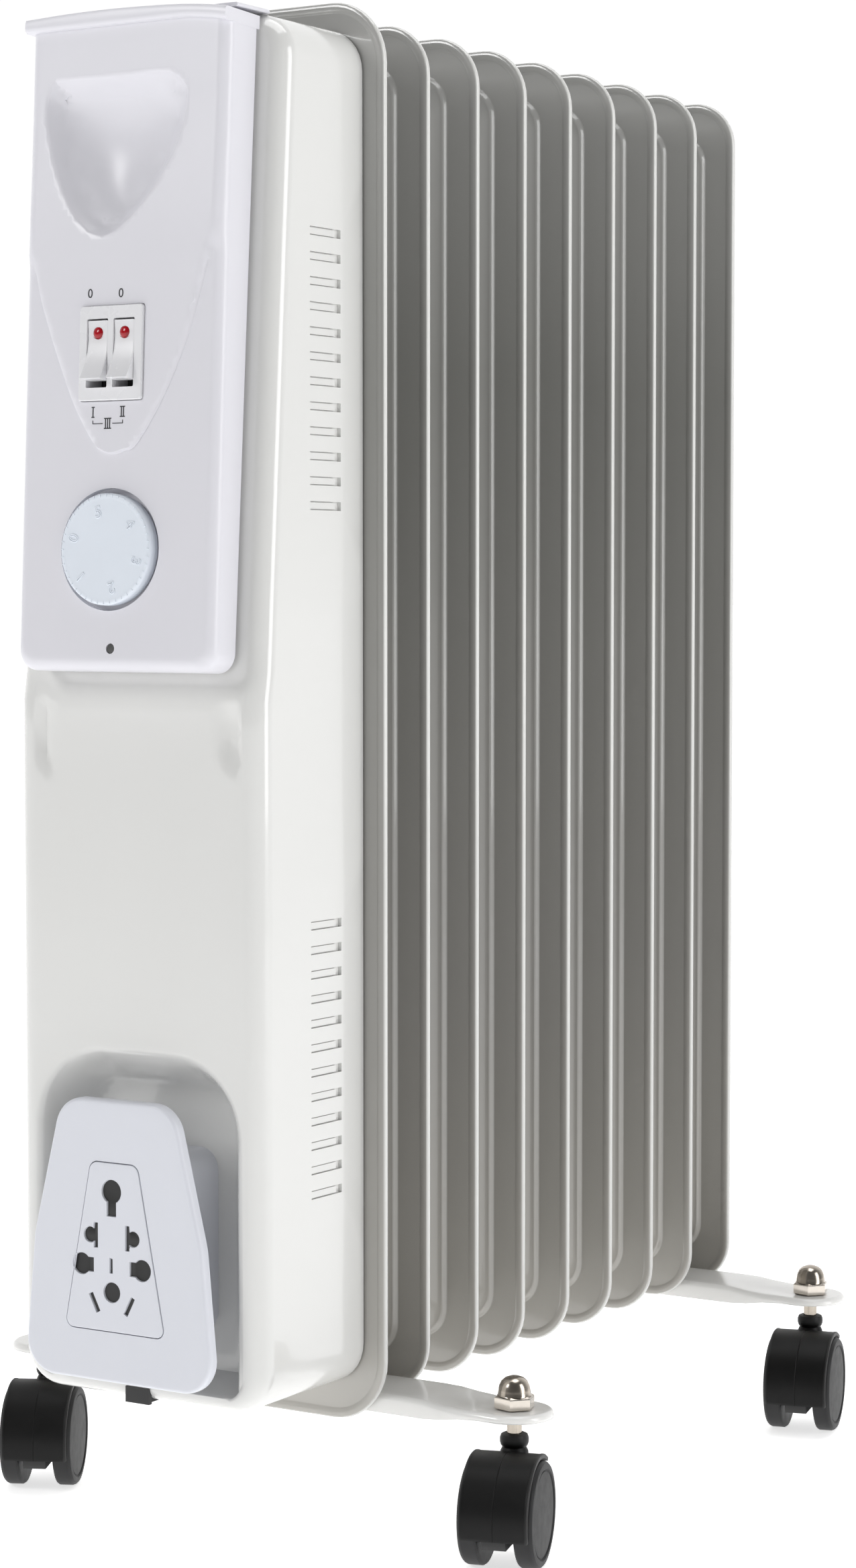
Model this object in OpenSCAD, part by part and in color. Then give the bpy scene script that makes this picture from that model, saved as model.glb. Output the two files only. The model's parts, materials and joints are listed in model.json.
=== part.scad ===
// Oil filled radiator heater on twin-wheel casters. Millimetres, +Z up, front faces -Y.

/* [Fins] */
// number of fins in the stack
fin_count = 9; // [5:1:13]
// distance between neighbouring fins
fin_pitch = 39.5; // [30:0.5:50]
// width of a fin
fin_w = 136.6; // [110:0.2:170]
// height of a fin
fin_h = 580; // [400:5:680]
// corner radius of a fin
fin_r = 22; // [12:1:35]
// height of the lower edge of the fins above the floor
fin_z = 56.8; // [50:0.2:80]
// how much the first fin is larger on every side
flange_extra = 4.2; // [0:0.2:8]
// half thickness of the oil chamber of a fin
chamber_half = 8.5; // [6:0.5:12]

/* [Electrical cover] */
// width of the front cover
cover_w = 124; // [100:1:140]
// position of the lower front face of the cover
cover_front_y = -191.5; // [-200:0.5:-180]
// sheet thickness of the cover
cover_t = 1.2; // [0.8:0.1:2]
// number of louvre slots in one group
slots_per_group = 12; // [4:1:16]
// distance between louvre slots
slot_pitch = 10; // [7:0.5:14]

/* [Control panel] */
// width of the control panel
panel_w = 99; // [80:1:110]
// height of the control panel without its lip
panel_h = 257.5; // [200:0.5:280]
// angle by which the panel leans back
panel_lean = 2.87; // [0:0.01:8]
// radius of the thermostat dial
dial_r = 22.5; // [16:0.5:30]

/* [Feet and casters] */
// distance of a caster stem from the centre plane
stem_x = 122.5; // [90:0.5:140]
// height of the top of the foot bars
bar_top_z = 64.5; // [58:0.5:72]
// width of a foot bar
bar_w = 33; // [26:1:36]
// radius of a caster wheel
wheel_r = 22; // [16:0.5:26]
// distance from the stem to the wheel axle
caster_trail = 13; // [6:0.5:18]
// direction in which the front left caster stands
turn_fl = 27; // [-45:1:45]
// direction in which the front right caster stands
turn_fr = 17; // [-45:1:45]
// direction in which the rear left caster stands
turn_rl = 8; // [-45:1:45]
// direction in which the rear right caster stands
turn_rr = 15; // [-45:1:45]

/* [Hidden] */
fin1_y = -116;
fin_last_y = fin1_y + (fin_count - 1) * fin_pitch;
margin_t = 1.6;
hem_t = 3.2;
hem_w = 4;
chamber_inset = 18;
chamber_slope = 6;
sheet_t = 1;
collar_r = 22;
collar_hole_r = 20;
loop_hole_r = 15;
lower_z = fin_z + 60;
upper_z = fin_z + fin_h - 60;
face_y = fin1_y - chamber_half;

cover_rear_y = -117.8;
cover_z0 = 68.5;
cover_z1 = 629.5;
cover_top_r = 18;
cover_edge_r = 8;
cover_upper_z = 366;
cover_upper_y = -189.4;
cover_lean = 3.67;
bay_half_w = 50;
bay_top_z = 211;
bay_foot_z = 75;
bay_depth = 22;
bay_floor_y = cover_front_y + bay_depth;
tab_x = 58.2;

panel_foot_z = 367.5;
panel_face_y = -206.8;
panel_depth = 24;
panel_wall = 2.4;
feature_x = -2.5;
bezel_z = 127.3;
dial_z = 48.8;
dial_recess_r = 24.6;
bezel_w = 31.4;
bezel_h = 38;
rocker_step = 13.3;
rocker_w = 10.2;
rocker_half_h = 12.2;
rocker_hole_w = 10.6;
rocker_hole_h = 27.6;
rocker_pivot_y = 1;
rocker_rest = 12;
pin_r = 1.2;
pin_hole_r = 1.25;
shaft_r = 3;

bar_ys = [fin1_y + fin_pitch / 2, fin_last_y - fin_pitch / 2];
bar_t = 1.6;
stem_r = 3.1;
axle_r = 2.5;
axle_z = wheel_r;
wheel_w = 8.5;
wheel_in = 7.5;
hood_r = wheel_r + 2.5;
hood_half_w = 14.5;
hood_foot_z = 15.5;
axle_half = 14.8;
ubolt_r = 2.5;
ubolt_bend = collar_r + ubolt_r + 0.5;

plate_front_y = -205.5;
plate_t = 5;
insert_x = -1;
hole_shift = -1.2;

c_paint = [0.90, 0.90, 0.89];
c_plastic = [0.88, 0.88, 0.92];
c_black = [0.08, 0.08, 0.08];
c_steel = [0.72, 0.71, 0.69];
c_brass = [0.80, 0.66, 0.35];
c_copper = [0.72, 0.45, 0.30];

// ---------- helpers ----------

// rounded rectangle centred on the origin, made of true arcs
module rrect(w, h, r, n = 64) {
    square([w - 2 * r, h], center = true);
    square([w, h - 2 * r], center = true);
    for (sx = [-1, 1], sz = [-1, 1])
        translate([sx * (w / 2 - r), sz * (h / 2 - r)])
            circle(r = r, $fn = n);
}

// lay an XY drawing into the XZ plane, thickness t from y0 towards +Y
module upright(y0, t) {
    translate([0, y0 + t, 0])
        rotate([90, 0, 0])
            linear_extrude(t)
                children();
}

// cylinder along +Y from y0
module rod_y(x, y0, z, r, len, n = 48) {
    translate([x, y0 + len, z])
        rotate([90, 0, 0])
            cylinder(r = r, h = len, $fn = n);
}

// cylinder along +X from x0
module rod_x(x0, y, z, r, len, n = 48) {
    translate([x0, y, z])
        rotate([0, 90, 0])
            cylinder(r = r, h = len, $fn = n);
}

// panel frame: origin at the foot of the face, +Z up the face, -Y out of it
module on_panel() {
    translate([0, panel_face_y, panel_foot_z])
        rotate([-panel_lean, 0, 0])
            children();
}

// ---------- fins ----------

// bulged oil chamber of a fin, shrunk by t on every side
module chamber(w, h, t) {
    base_w = w - 2 * chamber_inset - 2 * t;
    base_h = h - 2 * chamber_inset - 2 * t;
    top_w = base_w - 2 * chamber_slope;
    top_h = base_h - 2 * chamber_slope;
    half = chamber_half - t;
    hull() {
        upright(-margin_t / 2 + t / 2, margin_t - t) rrect(base_w, base_h, 16, 32);
        upright(-half, 2 * half) rrect(top_w, top_h, 12, 32);
    }
}

// one fin: two pressed sheets, hemmed all round, hollow for the oil
module fin(w, h, r, front_hole_r, rear_hole_r, upper_front_r) {
    translate([0, 0, fin_z + fin_h / 2])
        difference() {
            union() {
                upright(-margin_t / 2, margin_t) rrect(w, h, r);
                upright(-hem_t / 2, hem_t)
                    difference() {
                        rrect(w, h, r);
                        rrect(w - 2 * hem_w, h - 2 * hem_w, r - hem_w);
                    }
                chamber(w, h, 0);
            }
            chamber(w, h, sheet_t);
            dz = fin_h / 2 - 60;
            if (front_hole_r > 0)
                rod_y(0, -chamber_half - 1, -dz, front_hole_r, chamber_half);
            if (upper_front_r > 0)
                rod_y(0, -chamber_half - 1, dz, upper_front_r, chamber_half);
            if (rear_hole_r > 0)
                for (s = [-1, 1])
                    rod_y(0, 1, s * dz, rear_hole_r, chamber_half);
        }
}

module fin_at(i) {
    last = i == fin_count;
    color(c_paint)
        translate([0, fin1_y + (i - 1) * fin_pitch, 0])
            if (i == 1)
                fin(fin_w + 2 * flange_extra, fin_h + 2 * flange_extra, fin_r + flange_extra,
                    loop_hole_r, collar_hole_r, 8);
            else
                fin(fin_w, fin_h, fin_r, collar_hole_r, last ? 0 : collar_hole_r, collar_hole_r);
}

module fin_1() { fin_at(1); }
module fin_2() { fin_at(2); }
module fin_3() { fin_at(3); }
module fin_4() { fin_at(4); }
module fin_5() { fin_at(5); }
module fin_6() { fin_at(6); }
module fin_7() { fin_at(7); }
module fin_8() { fin_at(8); }
module fin_9() { fin_at(9); }

// welded collars that join the oil chambers
module collars(z) {
    color(c_paint)
        for (i = [0 : fin_count - 2])
            translate([0, fin1_y + i * fin_pitch + chamber_half, z])
                difference() {
                    rod_y(0, 0, 0, collar_r, fin_pitch - 2 * chamber_half, 64);
                    rod_y(0, -1, 0, collar_hole_r, fin_pitch, 64);
                }
}

module collars_lower() { collars(lower_z); }
module collars_upper() { collars(upper_z); }

// ---------- heating element ----------

gasket_t = 1.5;
flange_t = 5;
loop_x = 9;
loop_z = 5.5;
loop_r = 4;
loop_len = 262;

module heater_gasket() {
    color(c_black)
        difference() {
            rod_y(0, face_y - gasket_t, lower_z, 26, gasket_t);
            rod_y(0, face_y - gasket_t - 1, lower_z, loop_hole_r, gasket_t + 2);
        }
}

module heater_flange() {
    color(c_brass)
        difference() {
            rod_y(0, face_y - gasket_t - flange_t, lower_z, 26, flange_t);
            for (sx = [-1, 1], sz = [-1, 1])
                rod_y(sx * loop_x, face_y - gasket_t - flange_t - 1, lower_z + sz * loop_z, loop_r + 0.05,
                    flange_t + 2, 32);
        }
}

module heater_loop(z) {
    start = face_y - gasket_t - flange_t - 14;
    for (sx = [-1, 1])
        rod_y(sx * loop_x, start, z, loop_r, loop_len, 32);
    translate([0, start + loop_len, z])
        rotate_extrude(angle = 180, $fn = 64)
            translate([loop_x, 0])
                circle(r = loop_r, $fn = 32);
}

module heater_loops() {
    color(c_copper)
        for (s = [-1, 1])
            heater_loop(lower_z + s * loop_z);
}

module filler_plug() {
    color(c_steel) {
        rod_y(0, face_y - 6, upper_z, 11, 6, 6);
        rod_y(0, face_y - 1, upper_z, 7.6, 6, 32);
    }
}

// ---------- front cover ----------

// all that lies in front of a face at y = 0 with two faceted upright edges, shrunk by t
module in_front(h, t) {
    r = cover_edge_r - t;
    w = cover_w / 2 - t;
    edge = [for (a = [15 : 15 : 90]) [w - r + r * cos(a), t + r - r * sin(a)]];
    // the first facet runs on through the side of the cover
    start = edge[0] + 3 * (edge[0] - edge[1]);
    half = concat([[w + 30, start[1]], start], edge);
    other = [for (i = [len(half) - 1 : -1 : 0]) [-half[i][0], half[i][1]]];
    linear_extrude(h)
        polygon(concat([[w + 30, -60]], half, other, [[-w - 30, -60]]));
}

// recess for the wound cord, grown by t
module bay(t) {
    w = 2 * bay_half_w - 6 + 2 * t;
    h = bay_top_z - bay_foot_z + 2 * t;
    upright(cover_front_y - 20, bay_depth + 20 + t) {
        translate([0, (bay_top_z + bay_foot_z) / 2]) rrect(w, h, 30 + t);
        translate([-w / 2, bay_foot_z - t]) square([w, 60]);
    }
}

// outer body of the cover, shrunk by t
module cover_solid(t) {
    w = cover_w - 2 * t;
    h = cover_z1 - cover_z0 - 2 * t;
    difference() {
        upright(cover_front_y - 5, cover_rear_y - cover_front_y + 10)
            translate([0, (cover_z0 + cover_z1) / 2]) rrect(w, h, cover_top_r - t);
        translate([0, cover_front_y, 0]) in_front(cover_upper_z + 3, t);
        // the upper front leans back behind the control panel
        translate([0, cover_upper_y, cover_upper_z - t])
            rotate([-cover_lean, 0, 0])
                in_front(330, t);
        bay(t);
    }
}

module louvres(z_top) {
    for (i = [0 : slots_per_group - 1], s = [-1, 1])
        translate([s * cover_w / 2, -145, z_top - i * slot_pitch])
            cube([8, 22, 3.6], center = true);
}

module front_cover() {
    color(c_paint) {
        difference() {
            cover_solid(0);
            cover_solid(cover_t);
            translate([-80, cover_rear_y, 0]) cube([160, 60, 700]);
            louvres(544);
            louvres(264);
            // window behind the control panel
            translate([-40, -230, 392]) cube([80, 60, 190]);
            // outlet for the cord
            translate([-6.2, cover_front_y - 5, cover_z0 - 1]) cube([12.4, 34, 8.5]);
            // way in for the wires of the socket
            rod_y(0, bay_floor_y - 4, 135, 6, 10, 32);
        }
        // tabs that carry the cover
        for (sx = [-1, 1], z = [120, 585])
            difference() {
                translate([sx * (tab_x + 0.05) - 3.05, -118.8, z - 9]) cube([6.1, 2, 18]);
                rod_y(sx * tab_x, -140, z, 1.6, 60, 24);
            }
    }
}

module cover_rivets() {
    color(c_steel)
        for (sx = [-1, 1], z = [120, 585]) {
            rod_y(sx * tab_x, -121, z, 2.5, 2.2, 24);
            rod_y(sx * tab_x, -120, z, 1.5, 3.2, 24);
        }
}

// ---------- inside the cover ----------

module wiring_plate() {
    color(c_steel)
        difference() {
            upright(-140, 1.5) translate([0, 300]) rrect(84, 190, 6);
            for (sx = [-1, 1], z = [220, 380])
                rod_y(sx * 32, -142, z, 2.1, 6, 24);
        }
}

module plate_spacers() {
    color(c_steel)
        for (sx = [-1, 1], z = [220, 380]) {
            rod_y(sx * 32, -138.5, z, 5, -138.5 * -1 + face_y, 24);
            rod_y(sx * 32, -142.5, z, 1.9, 4.2, 24);
            rod_y(sx * 32, -142.5, z, 4, 2.5, 24);
        }
}

module terminal_block() {
    color(c_black)
        translate([-32, -158, 240])
            difference() {
                cube([64, 18, 20]);
                for (i = [0 : 4])
                    translate([7 + i * 12.5, -1, 10])
                        rotate([-90, 0, 0])
                            cylinder(r = 3, h = 10, $fn = 24);
            }
}

module thermal_cutout() {
    color(c_steel)
        translate([0, 0, 345]) {
            rod_y(0, -150, 0, 9, 10, 40);
            translate([-14, -141.5, -4]) cube([28, 1.5, 8]);
        }
}

module tip_switch() {
    color(c_black)
        translate([-30, -160, 290])
            difference() {
                cube([24, 20, 26]);
                translate([12, -1, 13])
                    rotate([-90, 0, 0])
                        cylinder(r = 7, h = 4, $fn = 32);
            }
}

wire_r = 1.6;

module wire(a, b) {
    d = b - a;
    len = norm(d);
    translate(a)
        rotate([0, acos(d[2] / len), atan2(d[1], d[0])])
            cylinder(r = wire_r, h = len, $fn = 16);
    translate(b) sphere(r = wire_r + 0.3, $fn = 24);
}

module wiring() {
    color([0.1, 0.2, 0.6]) {
        for (sx = [-1, 1]) {
            wire([sx * 25, -150, 238.2], [sx * 25, -150, 190]);
            wire([sx * 25, -150, 190], [sx * loop_x, -150, 126]);
        }
        wire([0, -150, 261.8], [0, -154, 320]);
        wire([0, -154, 320], [0, -168, 372]);
    }
}

module cord_gland() {
    color(c_black)
        difference() {
            union() {
                translate([-6, cover_front_y - 0.6, cover_z0 - 0.7]) cube([12, 2, 6.5]);
                translate([-5, cover_front_y + 1, cover_z0 - 0.2]) cube([10, 26, 6]);
            }
            rod_y(0, cover_front_y + 10, cover_z0 + 3, 2.2, 30, 24);
        }
}

// ---------- control panel ----------

// outline of the panel body seen from the front
module panel_outline(t) {
    w = panel_w - 2 * t;
    r = 8 - t;
    translate([-w / 2, t + r]) square([w, panel_h - 2 * t - r]);
    translate([-w / 2 + r, t]) square([w - 2 * r, 2 * r]);
    for (s = [-1, 1])
        translate([s * (w / 2 - r), t + r])
            circle(r = r, $fn = 48);
}

module panel_block(t, depth) {
    r = 5 - t;
    w = panel_w - 2 * t;
    intersection() {
        upright(t, depth) panel_outline(t);
        linear_extrude(panel_h + 10) {
            translate([-w / 2, t + r]) square([w, depth + 10]);
            translate([-w / 2 + r, t]) square([w - 2 * r, depth + 10]);
            for (s = [-1, 1])
                translate([s * (w / 2 - r), t + r])
                    circle(r = r, $fn = 32);
        }
    }
}

// hollow for the thumb, grown by t
module thumb_bowl(t) {
    corners = [[-29, 224, 8.5], [21, 224, 9.5], [-9, 185, 10]];
    hull() {
        for (c = corners)
            translate([c[0], -1, c[1] + 5.5])
                rotate([-90, 0, 0])
                    cylinder(r = c[2] + t, h = 1, $fn = 32);
        for (c = corners)
            translate([c[0] * 0.5 - 3, 0, (c[1] - 212) * 0.5 + 213])
                rotate([-90, 0, 0])
                    cylinder(r = 5 + t, h = 9 + t, $fn = 32);
    }
}

// raised shield around the switches
module shield() {
    half = panel_w / 2 - 0.2;
    upright(-1, 1.2)
        difference() {
            polygon([[-half, 250], [-half, 174], [-40, 146], [-33.5, 128], [-24, 107], [-15, 92.5],
                [-9, 87.6], [feature_x, 86.4], [4, 87.6], [11, 92.5], [21, 107], [32, 131], [41, 157],
                [half, 186], [half, 250]]);
            translate([feature_x - bezel_w / 2 - 0.1, bezel_z - bezel_h / 2 - 0.1])
                square([bezel_w + 0.2, bezel_h + 0.2]);
        }
}

// room taken by the cover behind the control panel, seen from the side and drawn along X
module cover_room() {
    top = cover_z1 + 0.05;
    low = cover_upper_z - 60;
    slope = tan(cover_lean);
    gap = 0.02;
    translate([-90, 0, 0])
        rotate([90, 0, 90])
            linear_extrude(180)
                polygon([[cover_upper_y - gap - 60 * slope, low],
                    [cover_upper_y - gap + (top - cover_upper_z) * slope, top], [-100, top], [-100, low]]);
}

module control_panel() {
    color(c_plastic)
        difference() {
            union() {
                panel_shell();
                translate([-48.9, -186, cover_z1 - 3.5]) cube([97.8, 22.5, 5.5]);
            }
            cover_room();
        }
}

module panel_shell() {
    on_panel()
        difference() {
            union() {
                difference() {
                    panel_block(0, panel_depth);
                    panel_block(panel_wall, panel_depth + 10);
                }
                shield();
                intersection() {
                    thumb_bowl(2);
                    translate([-45, 0.5, 150]) cube([90, 20, 100]);
                }
                rod_y(feature_x, 0, dial_z, dial_recess_r + 2, 6, 64);
                // lip along the top
                upright(-2.5, panel_depth)
                    translate([0, panel_h + 1.1]) rrect(panel_w + 3, 5.6, 1.5, 24);
            }
            thumb_bowl(0);
            // seat of the dial
            rod_y(feature_x, -2, dial_z, dial_recess_r, 5.5, 64);
            rod_y(feature_x, -2, dial_z, shaft_r + 1, 20, 32);
            // cut-out for the switch bezel
            translate([feature_x - 14.1, -3, bezel_z - 17.1]) cube([28.2, 8, 34.2]);
            rod_y(feature_x + 1.5, -2, 9.1, 2.1, 10, 24);
        }
}

module pilot_window() {
    color([0.15, 0.15, 0.15])
        on_panel() {
            rod_y(feature_x + 1.5, 0.4, 9.1, 2, 4, 24);
            rod_y(feature_x + 1.5, 2.4, 9.1, 3.4, 2, 24);
        }
}

module switch_bezel() {
    color(c_plastic)
        on_panel()
            translate([feature_x, 0, bezel_z])
                difference() {
                    union() {
                        upright(-3, 2) rrect(bezel_w, bezel_h, 2.5, 32);
                        translate([-14, -1.5, -17]) cube([28, 9.5, 34]);
                    }
                    for (s = [-1, 1]) {
                        translate([s * rocker_step / 2 - rocker_hole_w / 2, -5, -rocker_hole_h / 2])
                            cube([rocker_hole_w, 20, rocker_hole_h]);
                        rod_x(s * rocker_step / 2 - rocker_hole_w / 2 - 1.4, rocker_pivot_y, 0, pin_hole_r,
                            rocker_hole_w + 2.8, 32);
                    }
                }
}

module switch_bodies() {
    color(c_black)
        on_panel()
            translate([feature_x, 0, bezel_z])
                for (s = [-1, 1]) {
                    translate([s * rocker_step / 2 - 6, 8, -14]) cube([12, 14, 28]);
                    for (z = [-9, 0, 9])
                        translate([s * rocker_step / 2 - 0.4, 22, z - 3]) cube([0.8, 8, 6]);
                }
}

// lens pocket, measured from the rocker pivot line, grown by t
module lens_block(t) {
    translate([-2.6 - t, -5.2, 4.9 - t]) cube([5.2 + 2 * t, 4.2, 5.8 + 2 * t]);
}

module rocker_body() {
    difference() {
        union() {
            rotate([90, 0, 90])
                translate([0, 0, -rocker_w / 2])
                    linear_extrude(rocker_w)
                        polygon([[-6.5, rocker_half_h], [-4.6, 6], [-3.8, 0], [-4.6, -6],
                            [-6.5, -rocker_half_h], [1, -11], [4.8, -3], [4.8, 3], [1, 11]]);
            rod_x(-rocker_w / 2 - 1.2, 0, 0, pin_r, rocker_w + 2.4, 32);
        }
        lens_block(0.05);
    }
}

// place a rocker: s is -1 for the left one and 1 for the right one
module on_rocker(s) {
    on_panel()
        translate([feature_x + s * rocker_step / 2, rocker_pivot_y, bezel_z])
            rotate([-rocker_rest, 0, 0])
                children();
}

module rocker_left() { color(c_plastic) on_rocker(-1) rocker_body(); }
module rocker_right() { color(c_plastic) on_rocker(1) rocker_body(); }
module lens_left() { color([0.7, 0.05, 0.1]) on_rocker(-1) lens_block(0); }
module lens_right() { color([0.7, 0.05, 0.1]) on_rocker(1) lens_block(0); }

module dial() {
    color([0.86, 0.89, 0.93])
        on_panel()
            difference() {
                union() {
                    rod_y(feature_x, -3.2, dial_z, dial_r, 5.4, 96);
                    rod_y(feature_x, 2, dial_z, 3.9, 1, 32);
                }
                rod_y(feature_x, -1, dial_z, shaft_r, 10, 32);
            }
}

module dial_shaft() {
    color(c_steel)
        on_panel()
            rod_y(feature_x, -1, dial_z, shaft_r, 17, 32);
}

module thermostat() {
    color([0.75, 0.70, 0.60])
        on_panel()
            difference() {
                union() {
                    translate([feature_x - 18, 7, dial_z - 14]) cube([36, 16, 28]);
                    rod_y(feature_x, 6, dial_z, 6, 1.5, 32);
                }
                rod_y(feature_x, 5, dial_z, shaft_r + 0.05, 12, 32);
            }
}

// ---------- cord winder with its socket ----------

module plate_outline() {
    hull()
        for (s = [-1, 1]) {
            translate([s * 17.5, 180]) circle(r = 14, $fn = 48);
            translate([s * 14, 132]) circle(r = 29, $fn = 48);
            translate([s * 32.8, 92.4]) circle(r = 14, $fn = 48);
        }
}

module insert_outline(t) {
    hull()
        for (s = [-1, 1]) {
            translate([s * 8.5, 164.5]) circle(r = 4 + t, $fn = 24);
            translate([s * 21, 103]) circle(r = 3.5 + t, $fn = 24);
        }
}

module winder_plate() {
    color(c_plastic)
        difference() {
            union() {
                upright(plate_front_y, plate_t) plate_outline();
                upright(plate_front_y + plate_t, bay_floor_y - plate_front_y - plate_t)
                    translate([insert_x, 134]) rrect(56, 78, 10);
            }
            upright(plate_front_y - 1, 5) translate([insert_x, 0]) insert_outline(0.1);
            upright(plate_front_y + 2, 60)
                translate([insert_x, 134]) rrect(51, 73, 7.5);
        }
}

module socket_holes() {
    // keyhole
    translate([0, 156.9]) circle(r = 4.8, $fn = 32);
    translate([-2.2, 146.8]) square([4.4, 8]);
    for (s = [-1, 1]) {
        // half round holes with a flat
        translate([s * 8 - 0.85, 133.4]) square([1.7, 10.2]);
        translate([s * 10.85, 138.5]) circle(r = 3.15, $fn = 24);
        // side holes
        translate([s * 15.3, 126.2]) circle(r = 4.35, $fn = 32);
        translate([s * 11.8 - 2.5, 123.3]) square([5, 5.8]);
        // slanted slots
        translate([s * 8.8, 110.8])
            rotate([0, 0, -s * 27.5])
                square([1.8, 8.3], center = true);
    }
    translate([-0.9, 123.5]) square([1.2, 6.3]);
    translate([0, 115.7]) circle(r = 4.1, $fn = 32);
}

module socket_insert() {
    color(c_plastic)
        upright(plate_front_y - 0.4, 4.4)
            translate([insert_x, 0])
                difference() {
                    insert_outline(0);
                    translate([hole_shift, 0]) socket_holes();
                }
}

module socket_contacts() {
    color(c_brass)
        for (p = [[0, 158.5, 10, 8], [-10.5, 140, 8, 8], [10.5, 140, 8, 8], [-12, 122, 8, 10],
                [12, 122, 8, 10]])
            translate([insert_x + p[0] - p[2] / 2, plate_front_y + 12, p[1] - p[3] / 2])
                difference() {
                    cube([p[2], 18, p[3]]);
                    translate([1, -1, 1]) cube([p[2] - 2, 14, p[3] - 2]);
                }
}

// ---------- feet ----------

module bar_outline(t) {
    square([2 * stem_x, bar_w - 2 * t], center = true);
    for (s = [-1, 1])
        translate([s * stem_x, 0])
            circle(r = bar_w / 2 - t, $fn = 64);
}

module foot_bar(y) {
    color(c_paint)
        translate([0, y, 0])
            difference() {
                translate([0, 0, bar_top_z - 8]) linear_extrude(8) bar_outline(0);
                translate([0, 0, bar_top_z - 9]) linear_extrude(9 - bar_t) bar_outline(bar_t);
                // shallower skirt near the ends
                for (s = [-1, 1]) {
                    translate([s * (stem_x + 2) - 30, -30, bar_top_z - 9]) cube([60, 60, 3.5]);
                    translate([s * stem_x, 0, bar_top_z - 5]) cylinder(r = 4.1, h = 10, $fn = 32);
                    translate([s * ubolt_bend, 0, bar_top_z - 5]) cylinder(r = 2.8, h = 10, $fn = 32);
                }
            }
}

module foot_bar_front() { foot_bar(bar_ys[0]); }
module foot_bar_rear() { foot_bar(bar_ys[1]); }

module u_bolts() {
    color(c_steel)
        for (y = bar_ys)
            translate([0, y, lower_z]) {
                rotate([90, 0, 0])
                    rotate_extrude(angle = 180, $fn = 64)
                        translate([ubolt_bend, 0])
                            circle(r = ubolt_r, $fn = 32);
                for (s = [-1, 1])
                    translate([s * ubolt_bend, 0, -lower_z + 54])
                        cylinder(r = ubolt_r, h = lower_z - 54, $fn = 32);
            }
}

module wing_nuts() {
    top = bar_top_z - bar_t;
    color(c_steel)
        for (y = bar_ys, s = [-1, 1])
            translate([s * ubolt_bend, y, top - 6])
                difference() {
                    union() {
                        cylinder(r = 5, h = 6, $fn = 32);
                        translate([-11, -1, -3]) cube([22, 2, 7]);
                    }
                    translate([0, 0, -5]) cylinder(r = ubolt_r + 0.05, h = 20, $fn = 32);
                }
}

module acorn_nuts() {
    color(c_steel)
        for (y = bar_ys, s = [-1, 1])
            translate([s * stem_x, y, bar_top_z])
                difference() {
                    union() {
                        cylinder(r = 8.7, h = 5.2, $fn = 6);
                        translate([0, 0, 5.2])
                            rotate_extrude($fn = 48)
                                polygon([[0, 0], [6.8, 0], [6.8, 2], [6.2, 4.6], [4.6, 6.8], [2.4, 7.9],
                                    [0, 8.2]]);
                    }
                    translate([0, 0, -1]) cylinder(r = stem_r + 0.05, h = 10, $fn = 32);
                }
}

// ---------- casters ----------

function caster_turn(sx, sy) = sx < 0 ? (sy < 0 ? turn_fl : turn_rl) : (sy < 0 ? turn_fr : turn_rr);

module at_stem(sx, sy) {
    translate([sx * stem_x, sy < 0 ? bar_ys[0] : bar_ys[1], 0])
        rotate([0, 0, caster_turn(sx, sy)])
            children();
}

module caster_stems() {
    color(c_steel)
        for (sx = [-1, 1], sy = [-1, 1])
            at_stem(sx, sy) {
                translate([0, 0, 30]) cylinder(r = stem_r, h = 43, $fn = 32);
                translate([0, 0, 60.4]) cylinder(r = 5.2, h = bar_top_z - bar_t - 60.4, $fn = 32);
            }
}

module hood() {
    color(c_black)
        difference() {
            union() {
                difference() {
                    rod_x(-hood_half_w, -caster_trail, axle_z, hood_r, 2 * hood_half_w, 96);
                    rod_x(-hood_half_w - 1, -caster_trail, axle_z, wheel_r + 0.7, 2 * hood_half_w + 2, 96);
                    translate([-30, -60, -20]) cube([60, 60, hood_foot_z + 20]);
                    translate([-30, -caster_trail, -20]) cube([60, 60, 44]);
                }
                // web between the wheels
                intersection() {
                    rod_x(-5, -caster_trail, axle_z, hood_r - 0.5, 10, 96);
                    translate([-5, -60, 8]) cube([10, 100, 60]);
                }
                intersection() {
                    translate([-5, -caster_trail, 24]) cube([10, 20, 22]);
                    translate([0, 0, 20]) cylinder(r = 7.4, h = 30, $fn = 48);
                }
                // collar around the stem
                translate([0, 0, 40]) cylinder(r = 6, h = 12, $fn = 48);
            }
            translate([0, 0, 29]) cylinder(r = stem_r + 0.05, h = 40, $fn = 32);
            rod_x(-10, -caster_trail, axle_z, axle_r + 0.02, 20, 32);
        }
}

module axle() {
    color(c_steel)
        rod_x(-axle_half, -caster_trail, axle_z, axle_r, 2 * axle_half, 32);
}

// s is -1 for wheel a and 1 for wheel b
module wheel(s) {
    color(c_black)
        translate([s * (wheel_in + wheel_w / 2), -caster_trail, axle_z])
            difference() {
                rotate([0, 90, 0])
                    rotate_extrude($fn = 96)
                        polygon([[0, -wheel_w / 2], [wheel_r - 1.4, -wheel_w / 2], [wheel_r, -wheel_w / 2 + 1.4],
                            [wheel_r, wheel_w / 2 - 1.4], [wheel_r - 1.4, wheel_w / 2], [0, wheel_w / 2]]);
                rod_x(s < 0 ? -wheel_w / 2 + 1 : -wheel_w / 2 - 1, 0, 0, axle_r + 0.05, wheel_w, 32);
            }
}

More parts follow.
